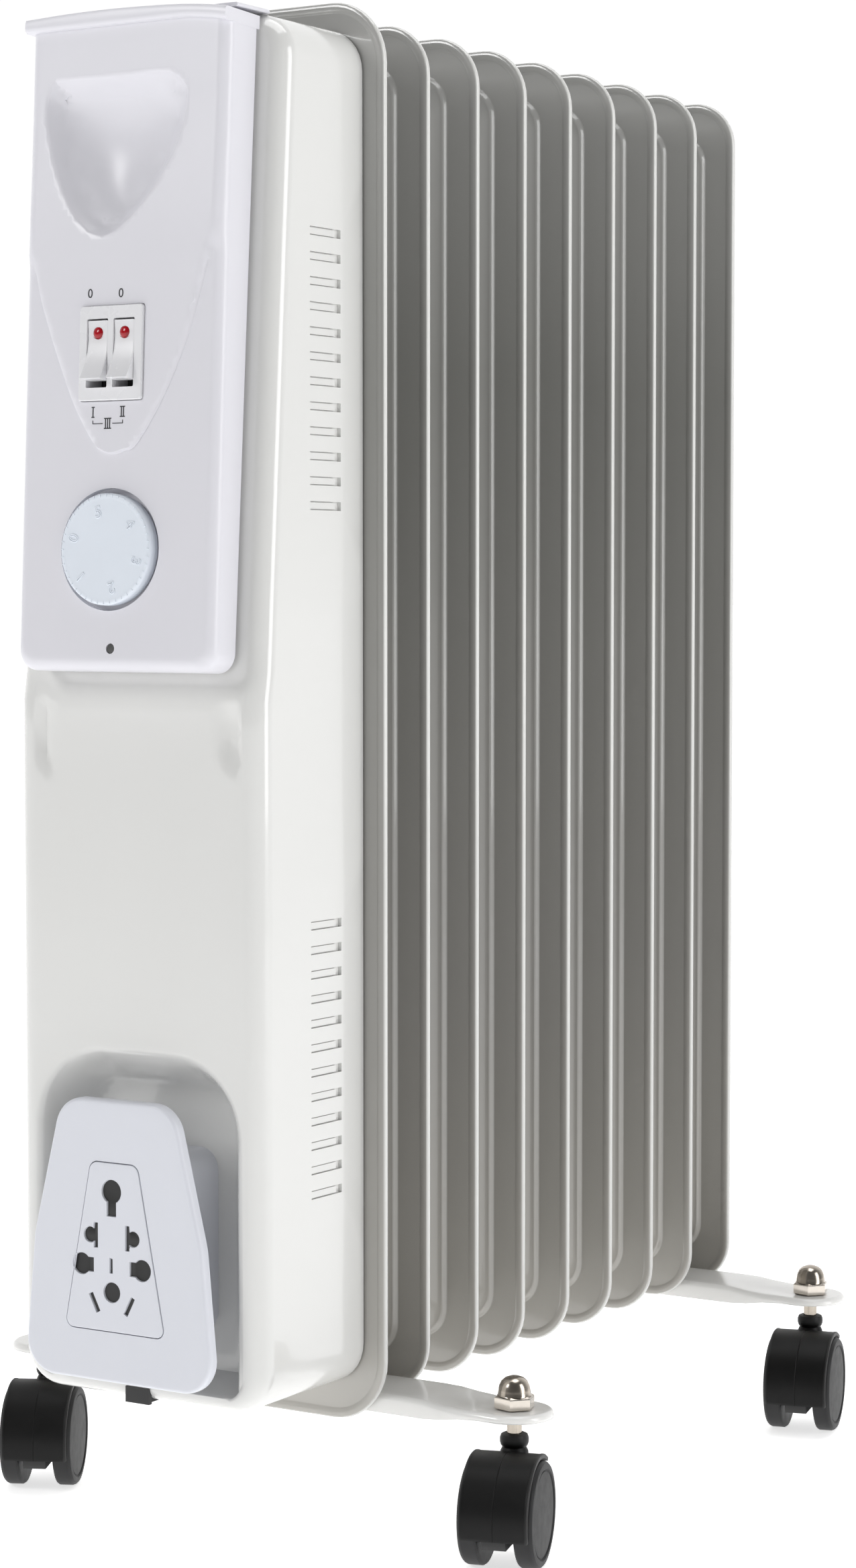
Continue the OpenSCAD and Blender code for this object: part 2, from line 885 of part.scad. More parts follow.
module hood_fl() { at_stem(-1, -1) hood(); }
module hood_fr() { at_stem(1, -1) hood(); }
module hood_rl() { at_stem(-1, 1) hood(); }
module hood_rr() { at_stem(1, 1) hood(); }
module axles_fl() { at_stem(-1, -1) axle(); }
module axles_fr() { at_stem(1, -1) axle(); }
module axles_rl() { at_stem(-1, 1) axle(); }
module axles_rr() { at_stem(1, 1) axle(); }
module wheel_fl_a() { at_stem(-1, -1) wheel(-1); }
module wheel_fl_b() { at_stem(-1, -1) wheel(1); }
module wheel_fr_a() { at_stem(1, -1) wheel(-1); }
module wheel_fr_b() { at_stem(1, -1) wheel(1); }
module wheel_rl_a() { at_stem(-1, 1) wheel(-1); }
module wheel_rl_b() { at_stem(-1, 1) wheel(1); }
module wheel_rr_a() { at_stem(1, 1) wheel(-1); }
module wheel_rr_b() { at_stem(1, 1) wheel(1); }

fin_1();
fin_2();
fin_3();
fin_4();
fin_5();
fin_6();
fin_7();
fin_8();
fin_9();
collars_lower();
collars_upper();
heater_flange();
heater_gasket();
heater_loops();
filler_plug();
front_cover();
cover_rivets();
wiring_plate();
plate_spacers();
terminal_block();
thermal_cutout();
tip_switch();
wiring();
cord_gland();
control_panel();
switch_bezel();
switch_bodies();
rocker_left();
rocker_right();
lens_left();
lens_right();
dial();
dial_shaft();
thermostat();
pilot_window();
winder_plate();
socket_insert();
socket_contacts();
foot_bar_front();
foot_bar_rear();
u_bolts();
wing_nuts();
acorn_nuts();
caster_stems();
hood_fl();
hood_fr();
hood_rl();
hood_rr();
axles_fl();
axles_fr();
axles_rl();
axles_rr();
wheel_fl_a();
wheel_fl_b();
wheel_fr_a();
wheel_fr_b();
wheel_rl_a();
wheel_rl_b();
wheel_rr_a();
wheel_rr_b();
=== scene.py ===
import json
import math

import bmesh
import bpy
from mathutils import Matrix, Vector
from mathutils.geometry import delaunay_2d_cdt


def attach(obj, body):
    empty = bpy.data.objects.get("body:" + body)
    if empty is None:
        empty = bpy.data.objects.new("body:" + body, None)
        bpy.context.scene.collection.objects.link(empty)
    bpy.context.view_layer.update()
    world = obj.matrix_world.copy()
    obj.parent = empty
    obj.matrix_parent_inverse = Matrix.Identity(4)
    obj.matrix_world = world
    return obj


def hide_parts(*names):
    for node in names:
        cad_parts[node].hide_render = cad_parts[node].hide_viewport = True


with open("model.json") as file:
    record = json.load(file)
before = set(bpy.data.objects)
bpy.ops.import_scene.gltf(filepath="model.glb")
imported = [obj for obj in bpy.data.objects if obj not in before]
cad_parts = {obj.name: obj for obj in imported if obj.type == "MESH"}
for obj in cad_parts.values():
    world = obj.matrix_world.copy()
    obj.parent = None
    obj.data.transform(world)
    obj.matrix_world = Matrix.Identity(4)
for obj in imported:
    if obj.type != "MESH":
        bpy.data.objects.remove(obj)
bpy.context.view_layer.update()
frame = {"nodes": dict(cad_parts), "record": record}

MM = 0.001

# ---------- dimensions of the frame, in millimetres ----------

FIN_PITCH = 39.5
FIN_YS = [-116 + FIN_PITCH * i for i in range(9)]
FIN_W, FIN_H, FIN_R, FIN_FOOT = 136.6, 580, 22, 56.8
FIRST_FIN_EXTRA = 4.2
COVER_HALF = 62.0
COVER_TOP = 629.5
COVER_FOOT = 68.5
COVER_FRONT = -191.5
COVER_REAR = -117.8
UPPER_Z, UPPER_Y, COVER_LEAN = 366.0, -189.4, math.radians(3.67)
STEP_FOOT, STEP_H = 355.5, 11.5
PANEL_Y, PANEL_Z, LEAN = -206.8, 367.5, math.radians(2.87)
PANEL_H, PANEL_HALF, PANEL_EDGE = 257.5, 49.5, 5.0
THUMB_DEPTH, SHIELD_RAISE = 13.5, 1.5
FEATURE_X, BEZEL_Z, DIAL_Z = -2.5, 127.3, 48.8
BAY_HALF, BAY_TOP, BAY_R, BAY_FOOT, BAY_FLOOR = 52.3, 213.5, 33.5, 75.0, -169.5
BAY_SLOPE, BAY_RISE = 17.0, 5.5
COVER_EDGE = 9.0
BAR_YS = [-96.25, 180.25]
STEM_X, BAR_TOP, BAR_HALF_W, BAR_SHEET = 122.5, 64.5, 16.5, 1.6
TURNS = {"fl": 27, "fr": 17, "rl": 8, "rr": 15}
TRAIL, WHEEL_R = 13.0, 22.0
PLATE_Y, PLATE_T, INSERT_X, HOLE_SHIFT = -205.5, 5.0, -1.0, -1.2


def on_panel(x, y, z):
    c, s = math.cos(LEAN), math.sin(LEAN)
    return (x, PANEL_Y + y * c + z * s, PANEL_Z - y * s + z * c)


PANEL_MATRIX = (Matrix.Translation(Vector(on_panel(0, 0, 0)) * MM)
                @ Matrix.Rotation(-LEAN, 4, "X"))


# ---------- materials ----------

class Nodes:
    """Small helper that builds a node tree for one material."""

    def __init__(self, name):
        self.mat = bpy.data.materials.new(name)
        self.mat.use_nodes = True
        self.tree = self.mat.node_tree
        self.bsdf = self.tree.nodes["Principled BSDF"]
        self.coord = self.tree.nodes.new("ShaderNodeTexCoord").outputs["Object"]

    def add(self, kind, **inputs):
        node = self.tree.nodes.new(kind)
        for key, value in inputs.items():
            node.inputs[key.replace("_", " ")].default_value = value
        return node

    def link(self, a, b):
        self.tree.links.new(a, b)

    def noise(self, scale, detail=3.0, stretch=None):
        node = self.add("ShaderNodeTexNoise", Scale=scale, Detail=detail)
        source = self.coord
        if stretch:
            mapping = self.add("ShaderNodeMapping")
            mapping.inputs["Scale"].default_value = stretch
            self.link(source, mapping.inputs["Vector"])
            source = mapping.outputs["Vector"]
        self.link(source, node.inputs["Vector"])
        return node.outputs["Fac"]

    def ramp(self, fac, stops):
        node = self.tree.nodes.new("ShaderNodeValToRGB")
        node.color_ramp.elements[0].position = stops[0][0]
        node.color_ramp.elements[0].color = stops[0][1]
        node.color_ramp.elements[1].position = stops[-1][0]
        node.color_ramp.elements[1].color = stops[-1][1]
        for position, color in stops[1:-1]:
            node.color_ramp.elements.new(position).color = color
        self.link(fac, node.inputs["Fac"])
        return node.outputs["Color"]

    def span(self, fac, low, high):
        node = self.tree.nodes.new("ShaderNodeMapRange")
        node.inputs["To Min"].default_value = low
        node.inputs["To Max"].default_value = high
        self.link(fac, node.inputs["Value"])
        return node.outputs["Result"]

    def mix(self, fac, a, b):
        node = self.tree.nodes.new("ShaderNodeMix")
        node.data_type = "RGBA"
        self.link(fac, node.inputs["Factor"])
        for socket, value in ((node.inputs["A"], a), (node.inputs["B"], b)):
            if isinstance(value, tuple):
                socket.default_value = value
            else:
                self.link(value, socket)
        return node.outputs["Result"]

    def bump(self, height, strength, distance):
        node = self.add("ShaderNodeBump", Strength=strength, Distance=distance)
        self.link(height, node.inputs["Height"])
        self.link(node.outputs["Normal"], self.bsdf.inputs["Normal"])

    def edge_wear(self, low=0.52, high=0.62):
        """Bright where the surface is strongly convex."""
        point = self.tree.nodes.new("ShaderNodeNewGeometry").outputs["Pointiness"]
        node = self.tree.nodes.new("ShaderNodeMapRange")
        node.inputs["From Min"].default_value = low
        node.inputs["From Max"].default_value = high
        self.link(point, node.inputs["Value"])
        return node.outputs["Result"]


def tint(color, k):
    return (min(1, color[0] * k), min(1, color[1] * k), min(1, color[2] * k), 1)


def surface(name, color, rough=(0.2, 0.3), cloud=14, grain=900, grain_depth=0.00002, coat=0.0,
            metal=0.0, variation=0.04, worn=None, specular=0.5, stretch=None, coat_rough=0.06):
    n = Nodes(name)
    cloud_fac = n.noise(cloud, 3.0)
    base = n.ramp(cloud_fac, [(0.3, tint(color, 1 - variation)), (0.7, tint(color, 1 + variation))])
    fine = n.noise(grain, 2.0, stretch)
    if worn:
        base = n.mix(n.edge_wear(), base, (*worn, 1))
    n.link(base, n.bsdf.inputs["Base Color"])
    n.link(n.span(n.noise(cloud * 3, 4.0), *rough), n.bsdf.inputs["Roughness"])
    n.bsdf.inputs["Metallic"].default_value = metal
    n.bsdf.inputs["Specular IOR Level"].default_value = specular
    n.bsdf.inputs["Coat Weight"].default_value = coat
    n.bsdf.inputs["Coat Roughness"].default_value = coat_rough
    n.bump(fine, 0.25, grain_depth)
    return n.mat


def fin_paint():
    """Gloss enamel in dark grey as painted shade between the fins, lighter at the top as a painted sheen and
    lighter and warmer towards the foot, with a painted highlight on the rims.
    """
    n = Nodes("fin_enamel_with_painted_light")
    split = n.tree.nodes.new("ShaderNodeSeparateXYZ")
    n.link(n.coord, split.inputs["Vector"])
    height = n.tree.nodes.new("ShaderNodeMapRange")
    height.inputs["From Min"].default_value = 0.05
    height.inputs["From Max"].default_value = 0.64
    n.link(split.outputs["Z"], height.inputs["Value"])
    # painted light over the height of the fins: dark grey faces for the shade between them, a lighter top for
    # a painted sheen, lighter and warmer at the foot
    painted_height_light = n.ramp(height.outputs["Result"], [(0.0, (0.52, 0.50, 0.46, 1)), (0.3, (0.39, 0.38, 0.36, 1)),
                                              (0.75, (0.30, 0.30, 0.285, 1)), (1.0, (0.42, 0.42, 0.41, 1))])
    cloud = n.ramp(n.noise(9, 2.0), [(0.3, (0.31, 0.305, 0.285, 1)), (0.7, (0.37, 0.365, 0.345, 1))])
    fac = n.add("ShaderNodeValue")
    fac.outputs[0].default_value = 0.3
    faces = n.mix(fac.outputs[0], painted_height_light, cloud)
    # lighter colour on the flagged rims: a painted highlight
    hem_highlight = n.add("ShaderNodeAttribute")
    hem_highlight.attribute_name = "hem_highlight"
    n.link(n.mix(hem_highlight.outputs["Fac"], faces, (0.66, 0.66, 0.64, 1)), n.bsdf.inputs["Base Color"])
    n.link(n.span(n.noise(30, 4.0), 0.16, 0.26), n.bsdf.inputs["Roughness"])
    n.bsdf.inputs["Coat Weight"].default_value = 0.6
    n.bsdf.inputs["Coat Roughness"].default_value = 0.06
    n.bump(n.noise(160, 2.0), 0.12, 0.00006)
    return n.mat


M = {
    "fin": fin_paint(),
    "cover": surface("cover_enamel", (0.72, 0.72, 0.705), (0.14, 0.22), 8, 170, 0.00006, coat=0.6,
                     variation=0.015),
    "bar": surface("bar_enamel", (0.86, 0.855, 0.835), (0.16, 0.28), 20, 260, 0.00006, coat=0.5,
                   variation=0.03),
    "panel": surface("panel_abs", (0.72, 0.715, 0.76), (0.26, 0.36), 10, 1500, 0.00003, variation=0.012),
    "winder": surface("winder_abs", (0.70, 0.715, 0.77), (0.28, 0.38), 10, 1500, 0.00003,
                      variation=0.012),
    "switch": surface("switch_abs", (0.77, 0.77, 0.79), (0.22, 0.32), 30, 1600, 0.00002,
                      variation=0.015),
    "dial": surface("dial_abs", (0.74, 0.79, 0.86), (0.32, 0.42), 40, 1600, 0.00003, variation=0.015),
    "black": surface("black_nylon", (0.006, 0.006, 0.006), (0.38, 0.52), 60, 900, 0.00006,
                     variation=0.2, worn=(0.05, 0.05, 0.05), specular=0.22),
    "tyre": surface("wheel_nylon", (0.008, 0.008, 0.009), (0.42, 0.60), 70, 1000, 0.00008,
                    variation=0.2, worn=(0.07, 0.07, 0.07), specular=0.3),
    "lens": surface("lens_red", (0.36, 0.003, 0.010), (0.12, 0.20), 300, 2500, 0.00001, coat=0.35,
                    variation=0.25, specular=0.35),
    "pilot": surface("pilot_lens", (0.09, 0.09, 0.09), (0.2, 0.3), 300, 2500, 0.00001, variation=0.2),
    "ink": surface("print_ink", (0.03, 0.03, 0.035), (0.4, 0.5), 200, 2500, 0.00001, variation=0.1),
    "nickel": surface("nickel", (0.47, 0.42, 0.36), (0.14, 0.28), 120, 600, 0.00004, metal=1.0,
                      variation=0.12, worn=(0.66, 0.61, 0.55)),
    "zinc": surface("zinc", (0.62, 0.63, 0.64), (0.24, 0.40), 90, 700, 0.00004, metal=1.0,
                    variation=0.08, stretch=(1, 1, 8)),
    "brass": surface("brass", (0.66, 0.47, 0.20), (0.24, 0.38), 90, 700, 0.00004, metal=1.0,
                     variation=0.08),
    "sheath": surface("heater_sheath", (0.40, 0.34, 0.29), (0.35, 0.50), 80, 600, 0.00005, metal=1.0,
                      variation=0.1, stretch=(1, 9, 1)),
    "gasket": surface("gasket_rubber", (0.02, 0.02, 0.02), (0.6, 0.75), 90, 900, 0.00008,
                      variation=0.2),
    "sleeve": surface("wire_sleeve", (0.02, 0.07, 0.36), (0.35, 0.5), 90, 900, 0.00004,
                      variation=0.1),
    "ceramic": surface("ceramic", (0.74, 0.69, 0.58), (0.45, 0.6), 60, 800, 0.00006, variation=0.05),
}

SLOT_LOOK = {
    "fin_paint": "fin", "cover_paint": "cover", "bar_paint": "bar", "panel_plastic": "panel",
    "winder_plastic": "winder", "dial_plastic": "dial", "black_plastic": "black",
    "wheel_plastic": "tyre", "lens_red": "lens", "pilot_grey": "pilot", "bright_steel": "nickel",
    "zinc_steel": "zinc", "brass": "brass", "heater_sheath": "sheath", "gasket_rubber": "gasket",
    "wire_sleeve": "sleeve", "ceramic": "ceramic",
}
for row in frame["record"]["subparts"]:
    node = frame["nodes"][row["node"]]
    node.data.materials.clear()
    node.data.materials.append(M[SLOT_LOOK[row["material_slot"]]])


# ---------- mesh helpers ----------

def rrect_loop(cx, cz, w, h, r, seg=8):
    """Rounded rectangle as a loop of points, always with the same number of points."""
    points = []
    r = max(0.01, min(r, w / 2 - 0.01, h / 2 - 0.01))
    for sx, sz, start in ((1, 1, 0), (-1, 1, 90), (-1, -1, 180), (1, -1, 270)):
        for i in range(seg + 1):
            a = math.radians(start + 90 * i / seg)
            points.append((cx + sx * (w / 2 - r) + r * math.cos(a),
                           cz + sz * (h / 2 - r) + r * math.sin(a)))
    return points


def make(name, bm, look, body, replaces=(), smooth=True, matrix=None, sharp=35):
    bmesh.ops.remove_doubles(bm, verts=bm.verts, dist=1e-7)
    bmesh.ops.recalc_face_normals(bm, faces=bm.faces)
    if matrix is not None:
        bmesh.ops.transform(bm, matrix=matrix, verts=bm.verts)
    mesh = bpy.data.meshes.new(name)
    bm.to_mesh(mesh)
    bm.free()
    if smooth:
        mesh.shade_smooth()
        mesh.set_sharp_from_angle(angle=math.radians(sharp))
    obj = bpy.data.objects.new(name, mesh)
    bpy.context.scene.collection.objects.link(obj)
    mesh.materials.append(M[look] if isinstance(look, str) else look)
    if smooth:
        even = obj.modifiers.new("even_normals", "WEIGHTED_NORMAL")
        even.keep_sharp = True
    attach(obj, body)
    if replaces:
        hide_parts(*replaces)
    return obj


def loft(bm, loops, cap_start=False, cap_end=False, closed=True):
    """Join loops of 3-D points (mm), each with the same number of points."""
    rings = [[bm.verts.new(Vector(p) * MM) for p in loop] for loop in loops]
    count = len(rings[0])
    for a, b in zip(rings, rings[1:]):
        for i in range(count if closed else count - 1):
            j = (i + 1) % count
            bm.faces.new((a[i], a[j], b[j], b[i]))
    if cap_start:
        bm.faces.new(rings[0])
    if cap_end:
        bm.faces.new(rings[-1])
    return rings


def lathe(bm, profile, origin, axis, seg=64):
    """Turn a profile of (radius, along) in mm around an axis through origin (mm)."""
    axis = Vector(axis).normalized()
    u = axis.orthogonal().normalized()
    v = axis.cross(u)
    origin = Vector(origin)
    rings = []
    for r, along in profile:
        if r < 1e-6:
            rings.append([bm.verts.new((origin + axis * along) * MM)])
            continue
        ring = []
        for i in range(seg):
            a = 2 * math.pi * i / seg
            ring.append(bm.verts.new((origin + axis * along + (u * math.cos(a) + v * math.sin(a)) * r) * MM))
        rings.append(ring)
    for a, b in zip(rings, rings[1:]):
        for i in range(seg):
            j = (i + 1) % seg
            quad = [a[i % len(a)], a[j % len(a)], b[j % len(b)], b[i % len(b)]]
            unique = list(dict.fromkeys(quad))
            if len(unique) > 2:
                bm.faces.new(unique)


def add_sheet(obj, thickness):
    """Give an open shell the thickness of its sheet metal, inwards."""
    sheet = obj.modifiers.new("sheet", "SOLIDIFY")
    sheet.thickness = thickness * MM
    sheet.offset = -1
    obj.modifiers.move(len(obj.modifiers) - 1, 0)


def smoothstep(t):
    t = max(0.0, min(1.0, t))
    return t * t * (3 - 2 * t)


def inside(loop, x, z):
    hit = False
    for (x0, z0), (x1, z1) in zip(loop, loop[1:] + loop[:1]):
        if (z0 > z) != (z1 > z) and x < (x1 - x0) * (z - z0) / (z1 - z0) + x0:
            hit = not hit
    return hit


def distance(loop, x, z):
    """Distance from a point to a closed outline."""
    best = 1e9
    for (x0, z0), (x1, z1) in zip(loop, loop[1:] + loop[:1]):
        dx, dz = x1 - x0, z1 - z0
        t = max(0.0, min(1.0, ((x - x0) * dx + (z - z0) * dz) / (dx * dx + dz * dz + 1e-12)))
        best = min(best, math.hypot(x - x0 - t * dx, z - z0 - t * dz))
    return best


def closed_spline(points, per=6):
    """Smooth closed curve through points (Catmull-Rom)."""
    out = []
    n = len(points)
    for i in range(n):
        p0, p1, p2, p3 = (Vector(points[(i + k - 1) % n]) for k in range(4))
        for k in range(per):
            t = k / per
            out.append(tuple(0.5 * ((2 * p1) + (p2 - p0) * t + (2 * p0 - 5 * p1 + 4 * p2 - p3) * t * t
                                    + (3 * p1 - p0 - 3 * p2 + p3) * t ** 3)))
    return out


def open_spline(points, per=6):
    """Smooth open curve through points (Catmull-Rom)."""
    ends = [tuple(2 * Vector(points[0]) - Vector(points[1])), *points,
            tuple(2 * Vector(points[-1]) - Vector(points[-2]))]
    out = []
    for p0, p1, p2, p3 in zip(ends, ends[1:], ends[2:], ends[3:]):
        p0, p1, p2, p3 = Vector(p0), Vector(p1), Vector(p2), Vector(p3)
        for k in range(per):
            t = k / per
            out.append(tuple(0.5 * ((2 * p1) + (p2 - p0) * t + (2 * p0 - 5 * p1 + 4 * p2 - p3) * t * t
                                    + (3 * p1 - p0 - 3 * p2 + p3) * t ** 3)))
    return out + [tuple(points[-1])]


def offset(loop, d):
    """Move a closed outline outwards by d (inwards if negative)."""
    n = len(loop)
    area = sum(loop[i][0] * loop[(i + 1) % n][1] - loop[(i + 1) % n][0] * loop[i][1] for i in range(n))
    side = 1 if area > 0 else -1
    out = []
    for i in range(n):
        a, b = Vector(loop[i - 1]), Vector(loop[(i + 1) % n])
        t = (b - a).normalized()
        out.append((loop[i][0] + side * t.y * d, loop[i][1] - side * t.x * d))
    return out


def height_face(bm, outline, holes, rings, step, height, lines=()):
    """A front face over an outline: y = height(x, z), with real holes, refined along rings and lines."""
    verts2, edges = [], []

    def add_loop(loop):
        base = len(verts2)
        verts2.extend(Vector(p) for p in loop)
        edges.extend((base + i, base + (i + 1) % len(loop)) for i in range(len(loop)))

    add_loop(outline)
    for loop in list(holes) + list(rings):
        add_loop(loop)
    for line in lines:
        base = len(verts2)
        verts2.extend(Vector(p) for p in line)
        edges.extend((base + i, base + i + 1) for i in range(len(line) - 1))
    xs, zs = [p[0] for p in outline], [p[1] for p in outline]
    x = min(xs) + step / 2
    while x < max(xs):
        z = min(zs) + step / 2
        while z < max(zs):
            if inside(outline, x, z) and distance(outline, x, z) > step * 0.35 and all(
                    not inside(h, x, z) and distance(h, x, z) > step * 0.35 for h in holes) and all(
                    distance(r, x, z) > step * 0.3 for r in list(rings) + list(lines)):
                verts2.append(Vector((x, z)))
            z += step
        x += step
    out_v, _, out_f, _, _, _ = delaunay_2d_cdt(verts2, edges, [], 0, 1e-5)
    made = [bm.verts.new(Vector((p.x, height(p.x, p.y), p.y)) * MM) for p in out_v]
    for f in out_f:
        cx = sum(out_v[i].x for i in f) / len(f)
        cz = sum(out_v[i].y for i in f) / len(f)
        if inside(outline, cx, cz) and not any(inside(h, cx, cz) for h in holes):
            bm.faces.new([made[i] for i in f])
    for v in [v for v in bm.verts if not v.link_faces]:
        bm.verts.remove(v)


def wall(bm, loop, start, end, steps=1):
    """A wall along an outline from y = start(x, z) to y = end(x, z)."""
    loops = []
    for k in range(steps + 1):
        t = k / steps
        loops.append([(p[0], start(*p) * (1 - t) + end(*p) * t, p[1]) for p in loop])
    loft(bm, loops)


# ---------- fins ----------

def fin_profile():
    """Section of one side from the rim to the middle: (inset, depth from the fin plane)."""
    profile = [(0.0, 0.0), (0.25, 1.0), (0.9, 1.55), (2.2, 1.6), (3.4, 1.45), (4.0, 0.95), (4.6, 0.8)]
    # a short steep bead, then the long slope up to the channel
    for i in range(23):
        inset = 15.1 + 0.5 * i
        profile.append((inset, 0.8 + 2.3 * smoothstep((inset - 15.1) / 1.5)
                        + 5.4 * smoothstep((inset - 16.4) / 9.7)))
    profile += [(27.5, 8.5), (33.0, 8.5), (34.2, 8.15), (36.0, 7.9), (37.8, 8.15), (39.0, 8.5),
                (50.0, 8.5)]
    return profile


def build_fin(index):
    extra = FIRST_FIN_EXTRA if index == 0 else 0.0
    w, h, r = FIN_W + 2 * extra, FIN_H + 2 * extra, FIN_R + extra
    cz = FIN_FOOT + FIN_H / 2
    y0 = FIN_YS[index]
    bm = bmesh.new()
    hem_highlight = bm.verts.layers.float.new("hem_highlight")
    for side in (-1, 1):
        loops = []
        for inset, depth in fin_profile():
            radius = max(r - inset, 7.0 if inset > 14 else 4.0)
            if inset > 10:
                radius = max(radius, 15.0 - (inset - 11) * 0.22)
            loops.append([(x, y0 + side * depth, z)
                          for x, z in rrect_loop(0, cz, w - 2 * inset, h - 2 * inset, radius, 10)])
        # the two outermost rings are flagged for the painted highlight on the rims
        for ring in loft(bm, loops, cap_end=True)[:2]:
            for v in ring:
                v[hem_highlight] = 1.0
    return make(f"fin_body_{index + 1}", bm, "fin", "heater", [f"fin_{index + 1}"], sharp=55)


for fin_index in range(9):
    build_fin(fin_index)


# ---------- front cover ----------

def bay_outline(inset):
    """Edge of the bay moved in by inset: straight sides, round top corners, foot rising as it goes in."""
    half, top, r = BAY_HALF - inset, BAY_TOP - inset, max(BAY_R - inset, 12)
    foot = BAY_FOOT + BAY_RISE * inset / BAY_SLOPE
    points = [(half, foot + (top - r - foot) * i / 14) for i in range(14)]
    points += [(half - r + r * math.cos(t), top - r + r * math.sin(t))
               for t in (math.radians(90 * i / 14) for i in range(15))]
    points += [((half - r) * (1 - i / 4), top) for i in range(1, 8)]
    points += [(-half + r + r * math.cos(t), top - r + r * math.sin(t))
               for t in (math.radians(90 + 90 * i / 14) for i in range(15))]
    points += [(-half, top - r - (top - r - foot) * i / 14) for i in range(1, 15)]
    points += [(-half + 2 * half * i / 10, foot) for i in range(1, 10)]
    return points


BAY_EDGE = bay_outline(0.0)


def base_front(z):
    """The plain front of the cover: lower face, slope under the panel, leaning upper face."""
    upper = UPPER_Y + (z - UPPER_Z) * math.tan(COVER_LEAN)
    if z >= STEP_FOOT + STEP_H:
        return upper
    t = smoothstep((z - STEP_FOOT) / STEP_H)
    low = COVER_FRONT + 0.05
    high = UPPER_Y + (STEP_FOOT + STEP_H - UPPER_Z) * math.tan(COVER_LEAN)
    return low * (1 - t) + high * t


def cover_height(x, z):
    y = base_front(z)
    # pressed hollows beside the foot of the panel
    for cx in (-48.0, 48.0):
        t = 1 - (abs(x - cx) / 3.6) ** 2 - ((z - 342) / 19.0) ** 2
        if t > 0:
            y += 1.7 * smoothstep(t * 1.4)
    # bay for the cord, with sloping rounded walls
    if inside(BAY_EDGE, x, z):
        past_x, past_z = abs(x) - (BAY_HALF - BAY_R), z - (BAY_TOP - BAY_R)
        to_side = min(BAY_HALF - abs(x), BAY_TOP - z)
        if past_x > 0 and past_z > 0:
            to_side = BAY_R - math.hypot(past_x, past_z)
        t = min(to_side, (z - BAY_FOOT) * BAY_SLOPE / BAY_RISE) / BAY_SLOPE
        y = y + (BAY_FLOOR - y) * smoothstep(t)
    return y


def cover_plan(inset):
    """Outline of the cover's front drawing, moved in by inset."""
    return rrect_loop(0, (COVER_TOP + COVER_FOOT) / 2, 2 * (COVER_HALF - inset),
                      COVER_TOP - COVER_FOOT - 2 * inset, max(18 - inset, 10), 8)


def dense(loop, step):
    """Split the long straight runs of a loop so that it can follow the lean."""
    out = []
    for (x0, z0), (x1, z1) in zip(loop, loop[1:] + loop[:1]):
        n = max(1, int(math.hypot(x1 - x0, z1 - z0) / step))
        out += [(x0 + (x1 - x0) * k / n, z0 + (z1 - z0) * k / n) for k in range(n)]
    return out


def build_cover():
    bm = bmesh.new()
    outer = dense(cover_plan(0), 12)
    # edge rounding from the front face round to the side
    loops = []
    for k in range(9):
        a = math.radians(90 * k / 8)
        inset = COVER_EDGE * (1 - math.sin(a))
        drop = COVER_EDGE * (1 - math.cos(a))
        # the bottom edge is rounded less, so that the bay can reach down to it
        inner = [(x, z0 + (z - z0) * (0.7 if z0 < 90 else 1.0))
                 for (x, z), (_, z0) in zip(offset(outer, -inset), outer)]
        loops.append([(x, base_front(z) + drop, z) for x, z in inner])
    face_edge = [(p[0], p[2]) for p in loops[0]]
    loft(bm, loops)
    # the front face with the hollows and the bay
    rings = [bay_outline(d) for d in (0, 1.4, 3.0, 4.8, 6.7, 8.6, 10.5, 12.4, 14.3, 17.0)]
    height_face(bm, face_edge, [], rings, 4.2, cover_height)
    return bm, outer


SLOT_Y0, SLOT_Y1, SLOT_H = -156.0, -134.0, 3.6
SLOT_MIDDLES = [top - 10 * i for top in (544, 264) for i in range(12)]
GROOVE, POCKET_DEPTH, VANE_DEPTH, VANE_SHARE = 0.4, 1.6, 0.4, 0.84


def add_sides(bm, outer):
    """The sides, top and bottom of the cover from the rounded edge to the rear, with louvre slots."""
    n = len(outer)
    for i in range(n):
        (x0, z0), (x1, z1) = outer[i], outer[(i + 1) % n]
        flat_side = abs(abs(x0) - COVER_HALF) < 0.01 and abs(abs(x1) - COVER_HALF) < 0.01
        if flat_side:
            continue
        quad = [(x0, base_front(z0) + COVER_EDGE, z0), (x1, base_front(z1) + COVER_EDGE, z1),
                (x1, COVER_REAR, z1), (x0, COVER_REAR, z0)]
        bm.faces.new([bm.verts.new(Vector(p) * MM) for p in quad])
    for sx in (-1, 1):
        side = [(x, z) for x, z in outer if abs(x - sx * COVER_HALF) < 0.01]
        side.sort(key=lambda p: p[1])
        outline = [(base_front(z) + COVER_EDGE, z) for _, z in side]
        outline += [(COVER_REAR, z) for _, z in reversed(side)]
        holes = [[(SLOT_Y0, z - SLOT_H / 2), (SLOT_Y1, z - SLOT_H / 2), (SLOT_Y1, z + SLOT_H / 2),
                  (SLOT_Y0, z + SLOT_H / 2)] for z in SLOT_MIDDLES]
        verts2, edges = [], []
        for loop in [outline] + holes:
            base = len(verts2)
            verts2.extend(Vector(p) for p in loop)
            edges.extend((base + i, base + (i + 1) % len(loop)) for i in range(len(loop)))
        out_v, _, out_f, _, _, _ = delaunay_2d_cdt(verts2, edges, [], 0, 1e-5)
        made = [bm.verts.new(Vector((sx * COVER_HALF, p.x, p.y)) * MM) for p in out_v]
        for f in out_f:
            cy = sum(out_v[i].x for i in f) / len(f)
            cz = sum(out_v[i].y for i in f) / len(f)
            if inside(outline, cy, cz) and not any(inside(h, cy, cz) for h in holes):
                bm.faces.new([made[i] for i in f])
        for v in [v for v in bm.verts if not v.link_faces]:
            bm.verts.remove(v)
        for hole in holes:
            add_slot(bm, sx, hole)


